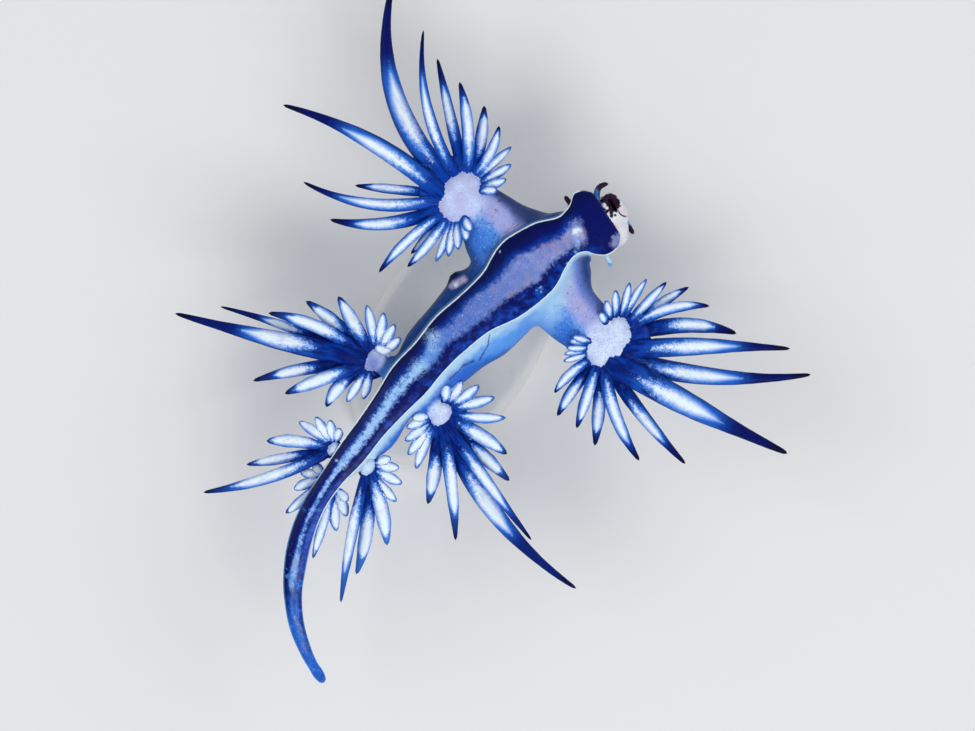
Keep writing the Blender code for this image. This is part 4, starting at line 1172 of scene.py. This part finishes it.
def pad_colour():
    """Stippled white of the pads, lilac on the animal's right."""
    pale = across.step(-1.0, 1.0) * 0.6 - 0.3 + station.step(-6.0, -9.0) * 0.5
    whiter = (mottle * 0.6 + grain * 0.6 + fine * 0.5 + pale).step(-0.5, 1.1)
    pad = colour_of(PEARL).blend(WHITE, whiter * 0.75)
    pad = pad.blend(BLUSH, (mottle * -1.0 + fleck * 0.5 + pale * -1.0).step(-0.2, 0.9) * 0.55)
    pad = pad.blend(LILAC, (grain * -1.0 + fine * -0.8).step(0.2, 1.5) * 0.6)
    pad = pad.blend(STEEL, spot(*PAD_SHADE) * 0.85)
    return pad.blend(MINT, station.step(-6.0, -9.0) * (mottle + fine * 0.5).step(-1.0, 0.6) * 0.6)


def fan_colour():
    """Blue palm with painted shade in the grooves between the cerata, and the pad with a frayed rim."""
    streak = wire.vector(fan_x, fan_y, pad_share * 0.15).noise(7.0, 3.0)
    palm = colour_of(ROYAL).blend(NAVY, (streak * 0.9 + deep * 0.45).step(0.0, 1.0) * 0.85)
    palm = palm.blend(COBALT, (streak * -1.0 + fleck * 0.4).step(0.4, 1.2) * 0.35)
    # Painted shade along the grooves between neighbouring cerata.
    palm = palm.blend(INK, (web_gap + fleck * 0.03).step(0.14, 0.02) * 0.85)
    palm = palm.blend(SILVER, above.step(-2.6, -3.2))
    pad = pad_colour().blend(LILAC, (pad_share + streak * 0.06).step(0.8, 1.02) * 0.5)
    return palm.blend(pad, on_pad.step(0.3, 0.7) * (pad_share + streak * 0.05).step(1.08, 1.0))


def ceras_colour():
    """Royal blue from the palm, a white band along the upper side, navy to the tip."""
    share = (run - white_from) / (white_to - white_from)
    edge = abs(side + (own - 0.5) * 0.45)
    streak = wire.vector(run * 5.0, side * 0.9, own * 30.0).noise(2.4, 3.0)
    ragged = grain * 0.05 + fleck * 0.06 + streak * 0.05 + fine * 0.03
    flesh = colour_of(ROYAL).blend(COBALT, (fleck + grain * 0.4).step(0.4, 1.4) * 0.4)
    flesh = flesh.blend(COBALT, share.step(-0.3, 0.15) * share.step(1.25, 0.9) * 0.8)
    streaks = (streak * 0.8 + deep * 0.4 + share * -0.6).step(0.1, 0.9) * share.step(0.5, 0.1)
    flesh = flesh.blend(NAVY, streaks * 0.85)
    flesh = flesh.blend(NAVY, (share + mottle * 0.05).step(0.88, 1.3) * dark_tip)
    flesh = flesh.blend(NAVY, abs(side + own * 0.3 - 0.15).step(0.75, 1.05) * (leaf * -0.3 + 0.7))
    flesh = flesh.blend(SKY, leaf * (1.0 - dark_tip) * share.step(0.2, 0.6) * 0.6)
    width = (share + ragged * 1.5).step(-0.2, 0.42) * (share + ragged).step(1.12, leaf * 0.3 + 0.6)
    inner = width * (leaf * 0.1 + station.step(2.0, -8.0) * 0.16 + 0.62) - edge + ragged
    white = inner.step(-0.34, 0.08) * width.step(0.0, 0.2) * (upper + leaf * 0.25).step(-0.1, 0.3)
    pale = colour_of(SKY).blend(PEARL, (inner + ragged * 0.5).step(-0.12, leaf * 0.14 + 0.28))
    pale = pale.blend(WHITE, (inner + ragged).step(0.1, leaf * 0.14 + 0.48))
    pale = pale.blend(LILAC, (streak + mottle * 0.5 + (own - 0.5)).step(0.1, 1.2) * 0.45)
    flesh = flesh.blend(pale, white)
    flesh = flesh.blend(INK, (run + leaf * -0.05 + fleck * 0.01).step(0.86, 0.95) * dark_tip)
    under = colour_of(SILVER).blend(COBALT, edge.step(0.4, 0.9))
    return flesh.blend(under, (upper + leaf * 0.1).step(-0.4, -0.75) * run.step(0.8, 0.6))


def head_colour():
    """Cream bulb with a dark plum patch over the mouth, flecks and a dark curl beside it."""
    base = colour_of(CREAM).blend(WHITE, (mottle + grain * 0.5).step(-0.6, 0.9) * 0.7)
    base = base.blend(LILAC, (fleck + mottle * 0.5).step(0.3, 1.3) * 0.7)
    base = base.blend(SKY, (height + mottle * 0.2).step(10.3, 9.8) * 0.6)
    patch = spots(MOUTH_PATCH)
    for gap in MOUTH_GAPS:
        patch = patch * (1.0 - spot(*gap))
    base = base.blend(PLUM, patch * (grain + fleck * 0.5).step(-1.3, -0.9))
    for x, y, size in HEAD_FLECKS:
        base = base.blend(PLUM, spot(x, y, size, 0.04))
    curl_x, curl_y = plan_x - CURL_MIDDLE[0], plan_y - CURL_MIDDLE[1]
    curl = abs((curl_x * curl_x + curl_y * curl_y).math("SQRT") - CURL_RADIUS).step(0.06, 0.03)
    return base.blend(PLUM, curl * spot(*CURL_PART))


def feeler_colour():
    """Blue stalks with dark brown tips at the mouth, a pale blue one behind."""
    base = colour_of(SKY).blend(MINT, (mottle + fleck).step(-0.8, 0.6) * plan_y.step(10.8, 10.2))
    base = base.blend(WHITE, (mottle + grain).step(-0.4, 0.8) * plan_y.step(10.6, 10.2) * 0.6)
    base = base.blend(SLATE, (plan_y + fleck * 0.1).step(12.2, 12.6) * 0.6)
    return base.blend(PLUM, spots(FEELER_TIPS))


# Small pale marks and larger pale patches on the sole: x, y and radius.
MARKS = ((3.42, 9.3, 0.1), (3.58, 9.12, 0.12), (3.72, 8.92, 0.09), (3.72, 8.7, 0.1), (3.8, 8.6, 0.05),
         (3.64, 7.74, 0.06), (3.06, 5.5, 0.1), (3.2, 5.3, 0.06), (2.9, 5.25, 0.05),
         (-0.45, 6.05, 0.07), (-2.14, -10.9, 0.07), (-0.1, -7.2, 0.05))
PALE_PATCHES = ((-1.1, -0.9, 0.4), (-0.75, -1.5, 0.25), (-0.85, -3.0, 0.4), (-1.6, -10.9, 0.22))
# Single spots of the sole, a pad, the head and its feelers: x, y, radius, softness, raggedness.
NECK_GLOW = (3.22, 9.78, 0.4, 0.25)
NECK_WHITES = ((3.02, 9.75, 0.2, 0.13, 0.9), (3.2, 9.98, 0.1, 0.12, 0.9))
CORNER_PATCH = (5.7, 10.68, 0.5, 0.2)
WAIST_SHADE = (-1.2, -1.2, 0.5, 0.4)
TAIL_PATCH = (2.6, -22.3, 0.25, 0.3)
PAD_SHADE = (-3.5, -4.35, 0.5, 0.4)
PAPILLA_LIGHT = (-1.68, 2.75, 0.13, 0.13)
MOUTH_PATCH = ((3.82, 12.52, 0.62, 0.06), (4.08, 12.52, 0.52, 0.06))
MOUTH_GAPS = ((3.62, 12.15, 0.16, 0.05), (3.9, 12.12, 0.1, 0.04))
HEAD_FLECKS = ((4.42, 11.86, 0.13), (4.02, 11.9, 0.1), (4.3, 12.0, 0.12), (4.6, 12.02, 0.08))
FEELER_TIPS = ((3.1, 13.45, 0.72, 0.1), (6.1, 11.75, 0.5, 0.1), (1.4, 11.3, 0.6, 0.1))
# The dark curl beside the mouth is the part of a circle that lies in a spot.
CURL_MIDDLE, CURL_RADIUS, CURL_PART = (4.95, 12.75), 0.5, (4.95, 12.3, 0.34, 0.1)
# Bars and folds of the skin: x and y of both ends of each run, and its half width.
TAIL_CROSS = (-2.2, -14.7, -1.4, -14.2, 0.12)
PAPILLA_BLUSH = (-1.85, 2.6, -1.45, 3.35, 0.2)
PAPILLA_SHADE = (-2.3, 2.45, -2.12, 3.3, 0.14)
WHITE_BUD = (-3.05, -3.26, -3.65, -3.38, 0.2)
FOLDS = ((1.89, 1.2, 2.17, 0.55, 0.035), (2.17, 0.55, 2.18, -0.07, 0.04), (2.18, -0.07, 2.2, -0.5, 0.045),
         (1.9, -0.8, 1.5, -1.4, 0.07), (1.5, -1.4, 1.26, -2.6, 0.04))

fringe = (station + mottle * 0.3).step(10.4, 9.6) * (station.step(-8.0, 3.0) * 0.4 + 0.4)
neck = station.step(10.9, 9.9)
folds = fold(*FOLDS[0])
for ends in FOLDS[1:]:
    folds = folds.most(fold(*ends))
folds = folds * (grain + fine * 0.5).step(-0.9, 0.1)
stipple = mottle * 0.2 + grain * 0.15 + fine * 0.1
body = flank_colour()
arm_share = abs(arm_side) * rim.step(0.0, -0.35) * to_front.step(1.7, 1.4) * to_front.step(-1.5, -0.8)
body = body.blend(arm_colour(), arm_share * (above + mottle * 0.2).step(-3.1, -2.4))
near_pad = (pad_share + mottle * 0.12 + fleck * 0.1).step(1.5, 0.98) * (above + mottle * 0.2).step(-2.9, -2.3)
pad_limit = station.step(1.0, 0.0) + (to_front + stipple).step(-0.65, -0.2) * to_front.step(0.95, 0.6)
near_pad = near_pad * pad_limit.most((pad_share + fleck * 0.04).step(1.06, 0.96)).least(1.0)
body = body.blend(pad_colour(), near_pad)
body = body.blend(BLUSH, fold(*PAPILLA_BLUSH) * (fleck + fine * 0.5).step(-1.0, 0.2) * 0.85)
body = body.blend(WHITE, spot(*PAPILLA_LIGHT) * 0.8)
body = body.blend(INK, fold(*PAPILLA_SHADE))
on_fan = (on_palm + on_pad + on_ceras_part).least(1.0)
# Painted shade in the hollows of the fans, off the pads, where cerata meet the palm and each other.
groove = hollow.step(0.004, 0.025)
bud = fold(*WHITE_BUD) * above.step(-2.6, -2.0)
body = body.blend(fan_colour().blend(ceras_colour(), on_ceras_part.step(0.25, 0.75)), on_fan.step(0.3, 0.7))
body = body.blend(INK, groove * on_fan * (1.0 - on_pad) * 0.7)
body = body.blend(colour_of(LILAC).blend(WHITE, bud.step(0.3, 0.9)), bud.step(0.0, 0.3) * (1.0 - on_foot))
body = body.blend(head_colour(), on_head.step(0.2, 0.8))
body = body.blend(feeler_colour(), on_feeler.step(0.2, 0.8))
top_side = on_foot.step(0.3, 0.7) * above.step(-0.1, -0.02)
body = body.blend(sole_colour(), top_side)
tail_end = station.step(-16.0, -19.0) * (1.0 - on_fan)
body = body.blend(NAVY, tail_end * (mottle + fleck * 0.8).step(0.05, 0.6) * 0.55)
body = body.blend(SKY, tail_end * (mottle + fleck * 0.8 + grain * 0.4).step(-0.2, -0.8) * 0.5)
margin = (rim + fleck * 0.02).step(across.step(0.3, -0.3) * 0.025 + 0.08, 0.045)
margin = margin * above.step(-0.16, -0.05) * station.step(11.6, 11.1)
bright = (station + across * 2.5).step(-17.0, -11.5)
body = body.blend(SKY, on_foot.step(0.2, 0.6) * margin * (1.0 - bright) * 0.5)
body = body.blend(WHITE, on_foot.step(0.2, 0.6) * margin * bright * 0.95)

relief = grain * 0.5 + fleck * 0.35 + mottle * 0.2 + fine * 0.2 + folds * -2.0
connect(
    skin_shader,
    Base_Color=body,
    Roughness=grain * 0.06 + fleck * 0.04 + 0.3 + on_ceras_part * 0.16,
    Coat_Weight=(mottle * 0.04 + 0.08) * (1.0 - on_ceras_part * 0.8),
    Normal=bump(relief, 0.000014),
)
FLESH = [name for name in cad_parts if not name.startswith("stand_")]
dress(skin, skin_material, "flank", *FLESH)

# Floor and light: a pale plain floor, with soft light from above and from the tail's side, as
# in a small photo studio.
FLOOR_HALF = 2.0
FLOOR_TONE = rgb(0.8, 0.8, 0.79)
SKY_TONE, SKY_STRENGTH = rgb(0.9, 0.93, 1.0), 0.42

floor_corners = [(x * FLOOR_HALF, y * FLOOR_HALF, 0) for x, y in ((-1, -1), (1, -1), (1, 1), (-1, 1))]
floor_data = bpy.data.meshes.new("floor")
floor_data.from_pydata(floor_corners, [], [(0, 1, 2, 3)])
floor = bpy.data.objects.new("floor", floor_data)
bpy.context.scene.collection.objects.link(floor)
floor_paint, shader, wire = new_material("pale_floor", 0.8)
shader.inputs["Base Color"].default_value = FLOOR_TONE
floor_data.materials.append(floor_paint)
floor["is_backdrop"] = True

# name, place, side of the square and power, in metres and watts
LIGHTS = (
    ("key", (0.24, -0.16, 0.33), 0.18, 0.8),
    ("fill", (-0.28, -0.1, 0.30), 0.25, 0.5),
    ("front", (0.12, 0.32, 0.28), 0.25, 0.36),
)
for name, place, size, power in LIGHTS:
    light_data = bpy.data.lights.new(name, "AREA")
    light_data.size = size
    light_data.energy = power
    light = bpy.data.objects.new(name, light_data)
    light.location = place
    light.rotation_euler = (Vector(place) - Vector((0, 0, SUBJECT_Z * MM))).to_track_quat("Z", "Y").to_euler()
    bpy.context.scene.collection.objects.link(light)
world = bpy.data.worlds.new("studio")
world.use_nodes = True
world.node_tree.nodes["Background"].inputs["Color"].default_value = SKY_TONE
world.node_tree.nodes["Background"].inputs["Strength"].default_value = SKY_STRENGTH
bpy.context.scene.world = world
bpy.context.scene.view_settings.view_transform = "Standard"

low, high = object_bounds()
